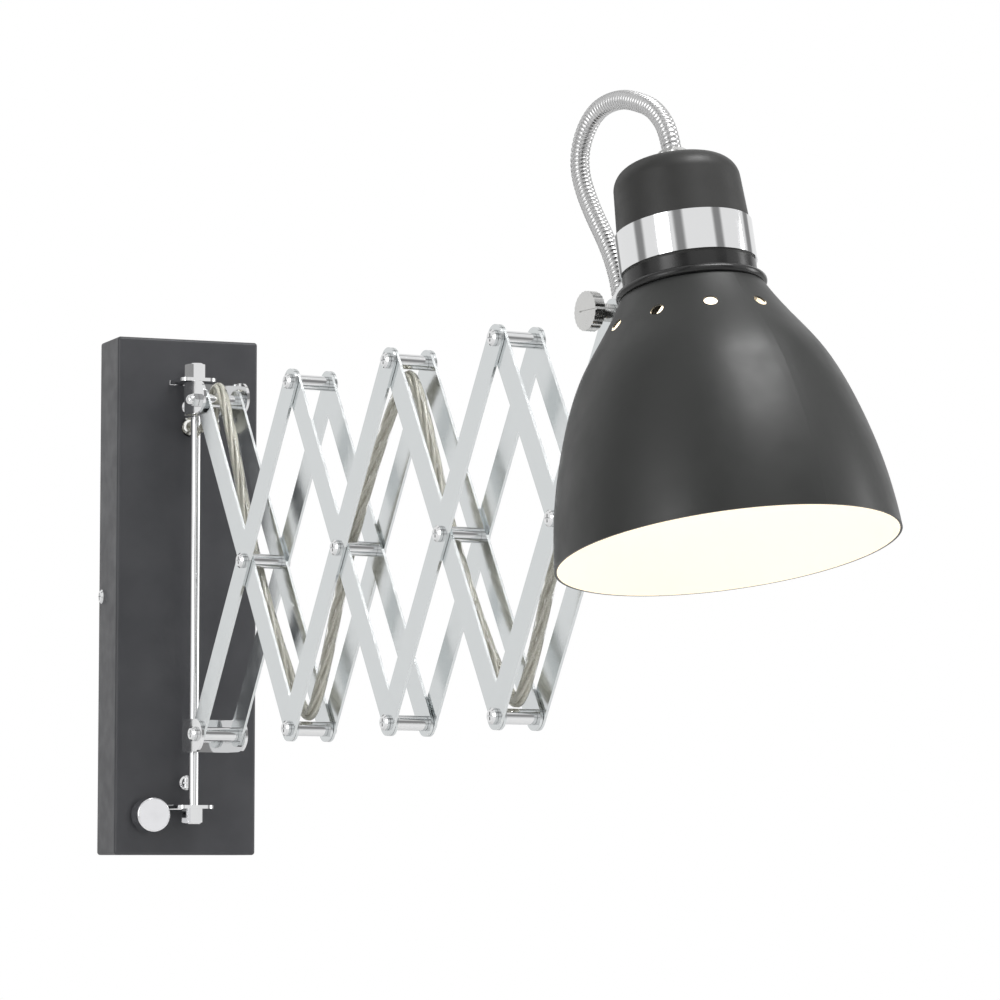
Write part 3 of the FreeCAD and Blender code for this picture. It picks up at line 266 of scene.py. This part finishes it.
def studio_world():
    world = bpy.data.worlds.new("studio")
    world.use_nodes = True
    tree = world.node_tree
    tree.nodes.clear()
    way = node(tree, "ShaderNodeLightPath")
    toward = node(tree, "ShaderNodeTexCoord").outputs["Generated"]
    parts = node(tree, "ShaderNodeSeparateXYZ", {0: toward})
    side = node(tree, "ShaderNodeMath", {0: parts.outputs["Y"], 1: parts.outputs["X"]}, operation="ARCTAN2")
    ripple = maths(tree, "SINE", maths(tree, "MULTIPLY", side.outputs[0], STRIPS_ROUND))
    strips = node(tree, "ShaderNodeMapRange", {"Value": ripple, "From Min": 0.55, "From Max": 0.95,
                                               "To Min": 1.0, "To Max": STRIP_LEVEL},
                  interpolation_type="SMOOTHSTEP")
    low = node(tree, "ShaderNodeMapRange", {"Value": parts.outputs["Z"], "From Min": -0.45, "From Max": -0.1,
                                            "To Min": 0.25, "To Max": 1.0}, interpolation_type="SMOOTHSTEP")
    gloss = maths(tree, "MULTIPLY", maths(tree, "MULTIPLY", strips.outputs[0], low.outputs[0]), GLOSS_LEVEL)
    seen = maths(tree, "MAXIMUM", way.outputs["Is Camera Ray"], way.outputs["Is Transmission Ray"])
    lit = node(tree, "ShaderNodeMix", {0: way.outputs["Is Glossy Ray"], 2: SOFT_FILL, 3: gloss})
    level = node(tree, "ShaderNodeMix", {0: seen, 2: lit.outputs[0], 3: GROUND_WHITE})
    ground = node(tree, "ShaderNodeBackground", {"Color": (1, 1, 1, 1), "Strength": level.outputs[0]})
    out = node(tree, "ShaderNodeOutputWorld")
    tree.links.new(ground.outputs[0], out.inputs["Surface"])
    return world


bpy.context.scene.world = studio_world()
bpy.context.scene.view_settings.view_transform = "Standard"
print("world is white to the camera and", SOFT_FILL, "as fill")


# %% Lamps
def soft_lamp(name, place, aim, width, height, power):
    """Rectangular studio lamp that faces a point."""
    light = bpy.data.lights.new(name, "AREA")
    light.shape = "RECTANGLE"
    light.size = width
    light.size_y = height
    light.energy = power
    lamp = bpy.data.objects.new(name, light)
    bpy.context.scene.collection.objects.link(lamp)
    lamp.location = place
    lamp.rotation_euler = (Vector(aim) - Vector(place)).to_track_quat("-Z", "Y").to_euler()


soft_lamp("lamp_above", (0.55, -1.25, 1.75), (0.1, -0.45, 0.0), 1.1, 0.7, 20.0)
soft_lamp("lamp_left", (-2.0, -1.6, 0.4), (0.0, -0.3, 0.0), 0.9, 1.6, 12.0)
soft_lamp("lamp_right", (2.3, -0.9, 0.3), (0.0, -0.3, 0.0), 0.6, 1.4, 9.0)

# %% [markdown]
# ## Floor
# The floor lies well below the lamp. To the camera it is white with a faint shadow, and it fades into the
# white world a few metres out, so that no horizon shows. From underneath it lets the camera through.

# %% Floor
FLOOR_Z = -0.62


def pale_floor():
    shape = bmesh.new()
    bmesh.ops.create_grid(shape, x_segments=1, y_segments=1, size=30.0)
    bmesh.ops.translate(shape, vec=(0, 0, FLOOR_Z), verts=shape.verts)
    mesh = bpy.data.meshes.new("floor")
    shape.to_mesh(mesh)
    shape.free()
    floor = bpy.data.objects.new("floor", mesh)
    bpy.context.scene.collection.objects.link(floor)
    mat = bpy.data.materials.new("floor_white")
    mat.use_nodes = True
    tree = mat.node_tree
    tree.nodes.clear()
    way = node(tree, "ShaderNodeLightPath")
    place = node(tree, "ShaderNodeTexCoord").outputs["Object"]
    far = node(tree, "ShaderNodeVectorMath", {0: place}, operation="LENGTH")
    fade = node(tree, "ShaderNodeMapRange", {"Value": far.outputs["Value"], "From Min": 1.2, "From Max": 3.5,
                                             "To Min": 0.55, "To Max": 1.0}, interpolation_type="SMOOTHSTEP")
    seen = maths(tree, "MAXIMUM", way.outputs["Is Camera Ray"], way.outputs["Is Transmission Ray"])
    share = maths(tree, "MULTIPLY", fade.outputs[0], seen)
    matte = node(tree, "ShaderNodeBsdfDiffuse", {"Color": (0.88, 0.88, 0.88, 1)})
    white = node(tree, "ShaderNodeEmission", {"Color": (1, 1, 1, 1), "Strength": GROUND_WHITE})
    top = node(tree, "ShaderNodeMixShader", {0: share, 1: matte.outputs[0], 2: white.outputs[0]})
    under = node(tree, "ShaderNodeBsdfTransparent")
    hidden = node(tree, "ShaderNodeNewGeometry").outputs["Backfacing"]
    both = node(tree, "ShaderNodeMixShader", {0: hidden, 1: top.outputs[0], 2: under.outputs[0]})
    out = node(tree, "ShaderNodeOutputMaterial")
    tree.links.new(both.outputs[0], out.inputs["Surface"])
    mesh.materials.append(mat)


pale_floor()
print("floor at", FLOOR_Z, "m")

# %% [markdown]
# ## Finishes: what they share
# Every finish starts as one Principled shader with the plain colour of the material. What makes it look
# real is small: a roughness that changes over a few millimetres, where hands and cloths have been, and a
# relief a few hundredths of a millimetre deep. Both come from noise on the piece's own coordinates, which
# here are metres on the lamp, so a grain of a given size is the same size on every piece.


# %% Finish helpers
def finish(name, colour, roughness, metallic=0.0):
    """New material with one Principled shader; returns it with its tree and shader."""
    mat = bpy.data.materials.new(name)
    mat.use_nodes = True
    tree = mat.node_tree
    shader = tree.nodes["Principled BSDF"]
    shader.inputs["Base Color"].default_value = (*colour, 1)
    shader.inputs["Roughness"].default_value = roughness
    shader.inputs["Metallic"].default_value = metallic
    return mat, tree, shader


def grain(tree, size, detail=3.0, turn=(0, 0, 0), stretch=(1, 1, 1)):
    """Noise with grains of a size in millimetres, turned and stretched along its own axes."""
    place = node(tree, "ShaderNodeTexCoord").outputs["Object"]
    scale = tuple(1.0 / (size * MM * s) for s in stretch)
    turned = node(tree, "ShaderNodeVectorRotate", {"Vector": place, "Rotation": turn},
                  rotation_type="EULER_XYZ", invert=True)
    mapped = node(tree, "ShaderNodeVectorMath", {0: turned.outputs[0], 1: scale}, operation="MULTIPLY")
    noise = node(tree, "ShaderNodeTexNoise", {"Vector": mapped.outputs[0], "Scale": 1.0, "Detail": detail})
    return noise.outputs["Fac"]


def between(tree, value, low, high, start=0.3, end=0.7):
    """Stretches a noise's middle range to run from low to high."""
    spread = node(tree, "ShaderNodeMapRange", {"Value": value, "From Min": start, "From Max": end,
                                               "To Min": low, "To Max": high})
    return spread.outputs[0]


def relief(tree, shader, layers):
    """Chains bumps, each a height from 0 to 1 and its depth in millimetres, into the shader's normal."""
    normal = None
    for height, depth in layers:
        feed = {"Strength": 1.0, "Distance": depth * MM, "Height": height}
        if normal:
            feed["Normal"] = normal
        normal = node(tree, "ShaderNodeBump", feed).outputs[0]
    tree.links.new(normal, shader.inputs["Normal"])


def tint(tree, shader, value, dark, light):
    """Colours a surface between two tones by a noise."""
    blend = node(tree, "ShaderNodeMix", {0: value, 6: (*dark, 1), 7: (*light, 1)}, data_type="RGBA")
    tree.links.new(blend.outputs[2], shader.inputs["Base Color"])


def dress(names, mat):
    """Gives CAD pieces their finish."""
    for name in names:
        for slot in nodes[name].material_slots:
            slot.material = mat


# %% [markdown]
# ## Black powder coat
# The wall box, the collar and the cap are powder coated: baked plastic powder that dries with a very fine
# orange peel. The box reads as charcoal because it faces the light at a slant, so its colour is a shade
# lighter than the cap's, and its sheen is soft.


# %% Black powder coat
def powder_coat(name, dark, light, roughness):
    mat, tree, shader = finish(name, dark, roughness)
    cloud = grain(tree, 24.0, detail=4.0)
    tint(tree, shader, between(tree, cloud, 0.0, 1.0), dark, light)
    tree.links.new(between(tree, grain(tree, 9.0), roughness - 0.05, roughness + 0.06),
                   shader.inputs["Roughness"])
    relief(tree, shader, [(grain(tree, 0.9, detail=2.0), 0.006), (grain(tree, 5.0, detail=1.0), 0.02)])
    shader.inputs["Specular IOR Level"].default_value = 0.5
    return mat


# Painted light: the box's coat is coloured a shade lighter than the cap's, for the light it catches at a
# slant.
box_coat = powder_coat("box_powder_coat", (0.040, 0.041, 0.046), (0.052, 0.053, 0.058), 0.42)
cap_coat = powder_coat("cap_powder_coat", (0.012, 0.012, 0.011), (0.018, 0.018, 0.017), 0.45)
dress(["wall_box"], box_coat)
dress(["cap"], cap_coat)
gloss_coat = powder_coat("collar_gloss_coat", (0.008, 0.008, 0.008), (0.012, 0.012, 0.012), 0.22)
dress(["collar"], gloss_coat)
print("powder coat on the box, the cap and the collar")

# %% [markdown]
# ## Shade: satin black outside, warm white inside
# A spun steel shade is sprayed twice, once from each side. Both paints meet at the rim and in the little
# round vents, where the light of the bulb catches the lower edge. To know which side a point is on, the
# material compares its normal with the direction from the bulb: paint that faces away from the bulb is
# black. The inside gets a weak emission, painted light that stands for the lit bulb close by, so that it
# is never darker than cream.

# %% Shade paint
BULB_HEIGHT = 93.4
WARM_WHITE = (1.0, 0.86, 0.66)
PAINTED_BULB_LIGHT = 0.27


def shade_paint():
    mat, tree, shader = finish("shade_paint", (0.016, 0.017, 0.016), 0.4)
    coords = node(tree, "ShaderNodeTexCoord")
    bulb = on_head(0, 0, BULB_HEIGHT)
    outward = node(tree, "ShaderNodeVectorMath", {0: coords.outputs["Object"], 1: tuple(bulb)},
                   operation="SUBTRACT")
    ray = node(tree, "ShaderNodeVectorMath", {0: outward.outputs[0]}, operation="NORMALIZE")
    facing = node(tree, "ShaderNodeVectorMath", {0: ray.outputs[0], 1: coords.outputs["Normal"]},
                  operation="DOT_PRODUCT")
    inside = between(tree, facing.outputs["Value"], 1.0, 0.0, start=-0.12, end=-0.04)
    tint(tree, shader, inside, (0.015, 0.016, 0.015), (0.88, 0.84, 0.76))
    outside_roughness = between(tree, grain(tree, 14.0), 0.36, 0.44)
    mixed = node(tree, "ShaderNodeMix", {0: inside, 2: outside_roughness, 3: 0.55})
    tree.links.new(mixed.outputs[0], shader.inputs["Roughness"])
    relief(tree, shader, [(grain(tree, 0.8, detail=2.0), 0.004), (grain(tree, 6.0, detail=1.0), 0.012)])
    # Painted light: the inside's warm emission stands for the bulb's light falling on the enamel.
    glow = node(tree, "ShaderNodeMix", {0: inside, 6: (0, 0, 0, 1), 7: (*WARM_WHITE, 1)}, data_type="RGBA")
    tree.links.new(glow.outputs[2], shader.inputs["Emission Color"])
    shader.inputs["Emission Strength"].default_value = PAINTED_BULB_LIGHT
    return mat


dress(["shade"], shade_paint())
print("shade painted from both sides of", round(BULB_HEIGHT), "mm, where the bulb sits")

# %% [markdown]
# ## Chrome
# Turned and pressed parts come out of the plating bath as mirrors, but never perfect ones. Sheet keeps a
# slight waviness that bends the reflections, and handling leaves a thin haze and hairline scratches. The
# flat bars are cut from rolled strip, and under the plating the rolling lines run along each bar, so the
# two families of bars get the same finish turned to their own slope.


# %% Chrome
def chrome(name, colour, roughness, wave=0.01, haze=0.05, turn=(0, 0, 0), stretch=(1, 1, 1), line=0.0):
    mat, tree, shader = finish(name, colour, roughness, metallic=1.0)
    tree.links.new(between(tree, grain(tree, 7.0, detail=5.0), roughness, roughness + haze),
                   shader.inputs["Roughness"])
    layers = [(grain(tree, 8.0, detail=1.0), wave)]
    if line:
        layers.append((grain(tree, 0.5, detail=2.0, turn=turn, stretch=stretch), line))
    relief(tree, shader, layers)
    return mat


polished = chrome("polished_chrome", (0.80, 0.805, 0.81), 0.04, wave=0.012)
knob_chrome = chrome("knob_chrome", (0.86, 0.86, 0.88), 0.06, wave=0.05)
LENGTHWISE = (60.0, 1.0, 1.0)
bar_finish = {}
for family, slope in (("a", -1), ("b", 1)):
    turn = (0.0, slope * -SPREAD, SWING - math.pi / 2)
    bar_finish[family] = chrome("bar_chrome_" + family, (0.70, 0.725, 0.73), 0.13, wave=0.02, haze=0.06,
                                turn=turn, stretch=LENGTHWISE, line=0.0015)
for name in nodes:
    if name.startswith("bars_"):
        dress([name], bar_finish[name[len("bars_")]])
dress([n for n in nodes if n.startswith("pivots_")], polished)
dress(["cover_screws", "rod_brackets", "rod_bracket_screws", "pivot_rod", "rod_nuts", "top_carrier",
       "top_carrier_bush", "top_carrier_pin", "bottom_carrier", "bottom_carrier_bush", "bottom_carrier_pin",
       "head_bracket", "sheath_ferrule"], polished)
dress(["dimmer_knob"], knob_chrome)
brushed = chrome("turned_nickel", (0.66, 0.66, 0.65), 0.2, wave=0.004, haze=0.1)
dress(["cap_fitting", "thumb_screw"], brushed)
zinc = chrome("zinc_plate", (0.62, 0.64, 0.66), 0.32, wave=0.02, haze=0.15)
dress(["wall_bracket", "dimmer_shaft"], zinc)
print("chrome on", len([n for n in nodes if n.startswith(("bars_", "pivots_"))]), "arm pieces")


# %% [markdown]
# ## Plastics inside
# The dimmer and the lamp holder are black moulded plastic, the terminal block is white nylon, and the
# gland is the same clear plastic as the cable.


# %% Plastics
def moulded(name, dark, light, roughness):
    mat, tree, shader = finish(name, dark, roughness)
    tint(tree, shader, between(tree, grain(tree, 3.0), 0.0, 1.0), dark, light)
    tree.links.new(between(tree, grain(tree, 2.0), roughness - 0.04, roughness + 0.08),
                   shader.inputs["Roughness"])
    relief(tree, shader, [(grain(tree, 0.35, detail=2.0), 0.006)])
    return mat


black_plastic = moulded("black_plastic", (0.018, 0.018, 0.019), (0.026, 0.026, 0.027), 0.38)
white_nylon = moulded("white_nylon", (0.72, 0.72, 0.69), (0.78, 0.78, 0.76), 0.42)
dress(["dimmer_module", "lamp_holder"], black_plastic)
dress(["terminal_block"], white_nylon)


def clear_plastic(name, colour, roughness):
    mat, tree, shader = finish(name, colour, roughness)
    shader.inputs["Transmission Weight"].default_value = 1.0
    shader.inputs["IOR"].default_value = 1.42
    tree.links.new(between(tree, grain(tree, 4.0), roughness, roughness + 0.08), shader.inputs["Roughness"])
    relief(tree, shader, [(grain(tree, 2.5, detail=2.0), 0.02)])
    return mat


clear_pvc = clear_plastic("clear_pvc", (0.93, 0.93, 0.90), 0.05)
dress(["cable_gland"], clear_pvc)

# %% [markdown]
# ## Sweeping along a line
# Cable, cores and wires are all swept the same way: a poly curve with a round bevel, made a mesh once.
# Cores twist round each other, so their lines are offset from the cable's by a frame that is carried
# along the route without rolling, and turned once in every lay length.


# %% Sweep helpers
def carried_frames(line):
    """For each point of a line: the point, two axes square to the line, and the distance from its start."""
    heading = (line[1] - line[0]).normalized()
    side = heading.orthogonal().normalized()
    found, run = [], 0.0
    for i, place in enumerate(line):
        before, after = line[max(i - 1, 0)], line[min(i + 1, len(line) - 1)]
        new_heading = (after - before).normalized()
        side = heading.rotation_difference(new_heading) @ side
        heading = new_heading
        run += (place - line[max(i - 1, 0)]).length
        found.append((place, side.copy(), heading.cross(side), run))
    return found


def resampled(line, step):
    """The same line with points at even steps."""
    total = line_length(line)
    count = max(2, round(total / step))
    found, i, run = [line[0].copy()], 0, 0.0
    for k in range(1, count):
        target = total * k / count
        while run + (line[i + 1] - line[i]).length < target:
            run += (line[i + 1] - line[i]).length
            i += 1
        share = (target - run) / (line[i + 1] - line[i]).length
        found.append(line[i].lerp(line[i + 1], share))
    return found + [line[-1].copy()]


def swept(name, lines, radius, mat, sides=16):
    """One mesh of round tubes with closed ends, one along each line."""
    curve = bpy.data.curves.new(name, "CURVE")
    curve.dimensions = "3D"
    curve.bevel_depth = radius
    curve.bevel_resolution = sides // 4 - 1
    curve.use_fill_caps = True
    for line in lines:
        spline = curve.splines.new("POLY")
        spline.points.add(len(line) - 1)
        for knot, place in zip(spline.points, line):
            knot.co = (*place, 1.0)
    carrier = bpy.data.objects.new(name, curve)
    mesh = bpy.data.meshes.new_from_object(carrier)
    bpy.data.objects.remove(carrier)
    bpy.data.curves.remove(curve)
    mesh.name = name
    shape = bmesh.new()
    shape.from_mesh(mesh)
    bmesh.ops.remove_doubles(shape, verts=shape.verts, dist=1e-6)
    bmesh.ops.recalc_face_normals(shape, faces=shape.faces)
    shape.to_mesh(mesh)
    shape.free()
    return placed(name, mesh, mat)


def placed(name, mesh, mat, crease=60):
    """Puts a finished mesh in the scene, smooth but for edges sharper than crease."""
    mesh.materials.clear()
    mesh.materials.append(mat)
    mesh.shade_smooth()
    mesh.set_sharp_from_angle(angle=math.radians(crease))
    piece = bpy.data.objects.new(name, mesh)
    bpy.context.scene.collection.objects.link(piece)
    return piece


# %% [markdown]
# ## The cable
# Under the clear jacket run three tinned, braided cores with a slow twist. Each stretch of cable runs
# between two links: it follows one as far as the pin, bends round the pin and then follows the other. So
# the line is cut in the middle of each bar, where nothing bends, and one mesh covers each half-and-half.

# %% Cable finishes
def tinned_braid():
    mat, tree, shader = finish("tinned_braid", (0.78, 0.76, 0.68), 0.42, metallic=0.25)
    weave = between(tree, grain(tree, 0.6, detail=2.0), 0.0, 1.0)
    tint(tree, shader, weave, (0.60, 0.58, 0.50), (0.90, 0.89, 0.83))
    relief(tree, shader, [(grain(tree, 0.35, detail=2.0), 0.05)])
    return mat


braid = tinned_braid()

# %% Cable pieces
CORE_RADIUS = 0.95 * MM
CORE_OFFSET = 1.35 * MM
CORE_LAY = 62.0 * MM
CORES = 3
SWEEP_STEP = 2.0 * MM


def nearest_index(line, place):
    return min(range(len(line)), key=lambda i: (line[i] - place).length)


def twisted_cores(line, begin):
    """Lines of the three cores beside a stretch of cable that starts a distance along it."""
    found = []
    for core in range(CORES):
        one = []
        for place, side, up, run in carried_frames(line):
            angle = 2 * math.pi * ((begin + run) / CORE_LAY + core / CORES)
            one.append(place + (side * math.cos(angle) + up * math.sin(angle)) * CORE_OFFSET)
        found.append(one)
    return found


rise_top = on_arm(rise_u, 0, PIN_TOP - 2.0)
cuts = [0, nearest_index(cable_line, rise_top)]
cuts += [nearest_index(cable_line, p) for p in mid_points[:3]] + [len(cable_line) - 1]
SOFT_HALF = BEND_HALF - 1.0


def round_pin(pin):
    """Start and end of the soft stretch round a pin; only their place out along the arm counts."""
    return on_arm(pin[0] - SOFT_HALF, 0, 0), on_arm(pin[0] + SOFT_HALF, 0, 0)


cable_stretches = [
    ("cable_at_rod", "base", "carrier_top", gland_points[1], on_arm(rise_u, 0, 96.0), ["cable_wall_loop"]),
    ("cable_over_first_pin", "carrier_top", "link_a0", on_arm(rise_u + 2, 0, PIN_TOP),
     on_arm(42.0, 0, PIN_TOP), ["cable_a0"]),
    ("cable_bay_1", "link_a0", "link_b1", *round_pin(bottom_pin(1)), ["cable_bend_1"]),
    ("cable_bay_2", "link_b1", "link_a2", *round_pin(top_pin(2)), ["cable_b1", "cable_bend_2"]),
    ("cable_bay_3", "link_a2", "link_b3", *round_pin(bottom_pin(3)),
     ["cable_a2", "cable_bend_3", "cable_b3"]),
]
for (name, body, next_body, start, end, stood_for), first, last in zip(cable_stretches, cuts, cuts[1:]):
    begin = line_length(cable_line[:first + 1])
    stretch = resampled(cable_line[first:last + 1], SWEEP_STEP)
    jacket = swept(name, [stretch], CABLE_RADIUS * MM, clear_pvc, sides=24)
    cores = swept(name + "_cores", twisted_cores(stretch, begin), CORE_RADIUS, braid, sides=12)
    for piece in (jacket, cores):
        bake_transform(piece)
    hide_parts(*stood_for)
    print(name, round(line_length(stretch) / MM), "mm")

# %% [markdown]
# ## Wires inside the box
# Behind the front sheet the cable runs down to the terminal block, where its jacket ends and the three
# cores fan out to their ways. A pair of thin wires goes on to the dimmer. None of this shows from the
# front, but the back of the box is open.

# %% Wires inside the box
BLOCK_Y = -7.5
LEAD_RADIUS = 1.9 * MM
tail_points = [Vector(p) * MM for p in (GLAND, (1.5, -19.0, 98.5), (1.0, -13.0, 72.0), (0.2, -7.9, 46.0),
                                        (0.0, BLOCK_Y, 36.0))]
tail_line = resampled(spline_line(tail_points, "tail_route"), SWEEP_STEP)
tail = swept("cable_tail", [tail_line], CABLE_RADIUS * MM, clear_pvc, sides=24)
tail_ends = []
for way in (-1, 0, 1):
    fan = [Vector(p) * MM for p in ((1.3 * way, BLOCK_Y, 38.0), (4.5 * way, BLOCK_Y - 0.1, 33.0),
                                    (9.0 * way, BLOCK_Y, 29.5), (9.0 * way, BLOCK_Y, 22.0))]
    tail_ends.append(resampled(spline_line(fan, "core_fan"), 1.0 * MM))
tail_cores = swept("cable_tail_cores", tail_ends + twisted_cores(tail_line, 0.0), CORE_RADIUS, braid,
                   sides=12)
lead_grey = moulded("lead_insulation", (0.30, 0.29, 0.28), (0.36, 0.35, 0.34), 0.4)
lead_points = [Vector(p) * MM for p in ((-9.0, BLOCK_Y, 9.7), (-12.0, BLOCK_Y - 2.0, -22.0),
                                        (-22.0, -15.2, -62.0), (-24.0, -22.8, -114.7))]
lead_line = resampled(spline_line(lead_points, "lead_route"), SWEEP_STEP)
lead = swept("dimmer_leads", [lead_line], LEAD_RADIUS, lead_grey)
for piece in (tail, tail_cores, lead):
    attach(piece, "base")
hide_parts("inner_leads")
print("tail", round(line_length(tail_line) / MM), "mm")

# %% [markdown]
# ## The wound sheath
# The sheath is a strip of steel wound into a tube, with a groove between turns. A straight one is made
# first: the outline of one turn is spun round the axis and lifted as it goes, and the turns are merged
# where they meet. Then the whole tube is laid along its route.

# %% Wound sheath
CREST_RADIUS = SHEATH_RADIUS * MM
SHEATH_RIB = 0.55 * MM
SHEATH_PITCH = 2.4 * MM
STEPS_A_TURN = 24


def wound_steel():
    mat, tree, shader = finish("wound_steel", (0.60, 0.60, 0.60), 0.24, metallic=1.0)
    tree.links.new(between(tree, grain(tree, 1.5), 0.18, 0.34), shader.inputs["Roughness"])
    relief(tree, shader, [(grain(tree, 0.4, detail=2.0), 0.01)])
    return mat


def wound_tube(length):
    """Straight wound tube on +Z."""
    turns = round(length / SHEATH_PITCH)
    pitch = length / turns
    shape = bmesh.new()
    outline = [(0.0, SHEATH_RIB), (0.12, 0.25 * SHEATH_RIB), (0.3, 0.0), (0.6, 0.0),
               (0.78, 0.25 * SHEATH_RIB), (0.9, SHEATH_RIB), (1.0, SHEATH_RIB)]
    knots = [shape.verts.new((CREST_RADIUS - depth, 0, share * pitch)) for share, depth in outline]
    strip = [shape.edges.new(pair) for pair in zip(knots, knots[1:])]
    steps = turns * STEPS_A_TURN
    bmesh.ops.spin(shape, geom=knots + strip, cent=(0, 0, 0), axis=(0, 0, 1),
                   dvec=(0, 0, pitch / STEPS_A_TURN), angle=2 * math.pi * turns, steps=steps,
                   use_duplicate=False)
    bmesh.ops.remove_doubles(shape, verts=shape.verts, dist=0.02 * MM)
    rims = [e for e in shape.edges if e.is_boundary]
    bmesh.ops.holes_fill(shape, edges=rims)
    bmesh.ops.recalc_face_normals(shape, faces=shape.faces)
    return shape


def laid_along(shape, line):
    """Moves a straight shape on +Z onto a line, keeping its distance from the axis."""
    frames = carried_frames(line)
    total = frames[-1][3]
    step = total / (len(frames) - 1)
    length = max(v.co.z for v in shape.verts)
    for vert in shape.verts:
        run = min(max(vert.co.z / length, 0.0), 1.0) * total
        i = min(int(run / step), len(frames) - 2)
        share = run / step - i
        here, there = frames[i], frames[i + 1]
        side = here[1].lerp(there[1], share).normalized()
        up = here[2].lerp(there[2], share).normalized()
        vert.co = here[0].lerp(there[0], share) + side * vert.co.x + up * vert.co.y


sheath_even = resampled(sheath_line, 0.8 * MM)
straight = wound_tube(line_length(sheath_even))
laid_along(straight, sheath_even)
sheath_mesh = bpy.data.meshes.new("wound_sheath")
straight.to_mesh(sheath_mesh)
straight.free()
sheath = placed("wound_sheath", sheath_mesh, wound_steel(), crease=80)
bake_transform(sheath)
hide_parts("sheath")
print("sheath has", len(sheath_mesh.polygons), "faces")

# %% [markdown]
# ## The bulb
# Looking up into the shade one sees a frosted globe in its holder. Half of its outline is drawn and spun
# round the axis: glass below, and above it the threaded metal base, whose thread is a row of rounded
# ribs. The glass glows, and that light warms the inside of the shade, together with the weak emission
# painted onto the enamel as bulb light.

# %% Bulb
BULB_RADIUS = 30.0
GLOBE_STEPS = 14
BASE_TOP = 168.0
GLASS_TOP = 133.4
THREAD_FOOT = 137.4
THREAD_PITCH = 3.6
THREAD_RIBS = 6
BULB_GLOW = 2.6


def spun(outline, name, mat, segments=64):
    """Solid of revolution about the head's axis from (radius, height) points in millimetres."""
    shape = bmesh.new()
    knots = [shape.verts.new((r, 0, h)) for r, h in outline]
    rim = [shape.edges.new(pair) for pair in zip(knots, knots[1:])]
    bmesh.ops.spin(shape, geom=knots + rim, cent=(0, 0, 0), axis=(0, 0, 1), angle=2 * math.pi, steps=segments,
                   use_merge=True, use_duplicate=False)
    bmesh.ops.remove_doubles(shape, verts=shape.verts, dist=1e-4)
    bmesh.ops.recalc_face_normals(shape, faces=shape.faces)
    for vert in shape.verts:
        vert.co = on_head(*vert.co)
    mesh = bpy.data.meshes.new(name)
    shape.to_mesh(mesh)
    shape.free()
    return placed(name, mesh, mat, crease=50)


def opal_glass():
    mat, tree, shader = finish("opal_glass", (0.95, 0.93, 0.88), 0.3)
    tree.links.new(between(tree, grain(tree, 6.0), 0.25, 0.35), shader.inputs["Roughness"])
    glow = between(tree, grain(tree, 30.0, detail=1.0), 0.9, 1.0)
    light = node(tree, "ShaderNodeMix", {0: glow, 6: (0.9, 0.7, 0.5, 1), 7: (*WARM_WHITE, 1)},
                 data_type="RGBA")
    tree.links.new(light.outputs[2], shader.inputs["Emission Color"])
    shader.inputs["Emission Strength"].default_value = BULB_GLOW
    return mat


shoulder = math.radians(50)
globe = []
for i in range(GLOBE_STEPS + 1):
    angle = -math.pi / 2 + (shoulder + math.pi / 2) * i / GLOBE_STEPS
    globe.append((BULB_RADIUS * math.cos(angle), BULB_HEIGHT + BULB_RADIUS * math.sin(angle)))
globe += [(15.0, 121.4), (13.4, 128.4), (13.2, GLASS_TOP), (0.0, GLASS_TOP)]
bulb_glass = spun(globe, "bulb_glass", opal_glass())
base_outline = [(0.0, 132.4), (13.3, 132.4), (13.3, 136.4)]
for rib in range(THREAD_RIBS):
    foot = THREAD_FOOT + rib * THREAD_PITCH
    base_outline += [(12.5, foot), (13.3, foot + 0.9), (13.3, foot + 1.8), (12.5, foot + 2.7)]
base_outline += [(12.3, 159.9), (7.0, 164.6), (4.8, 165.6), (4.8, BASE_TOP), (0.0, BASE_TOP)]
bulb_base = spun(base_outline, "bulb_base", brushed)
for piece in (bulb_glass, bulb_base):
    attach(piece, "head")
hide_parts("bulb")
print("bulb glass", len(bulb_glass.data.polygons), "faces")
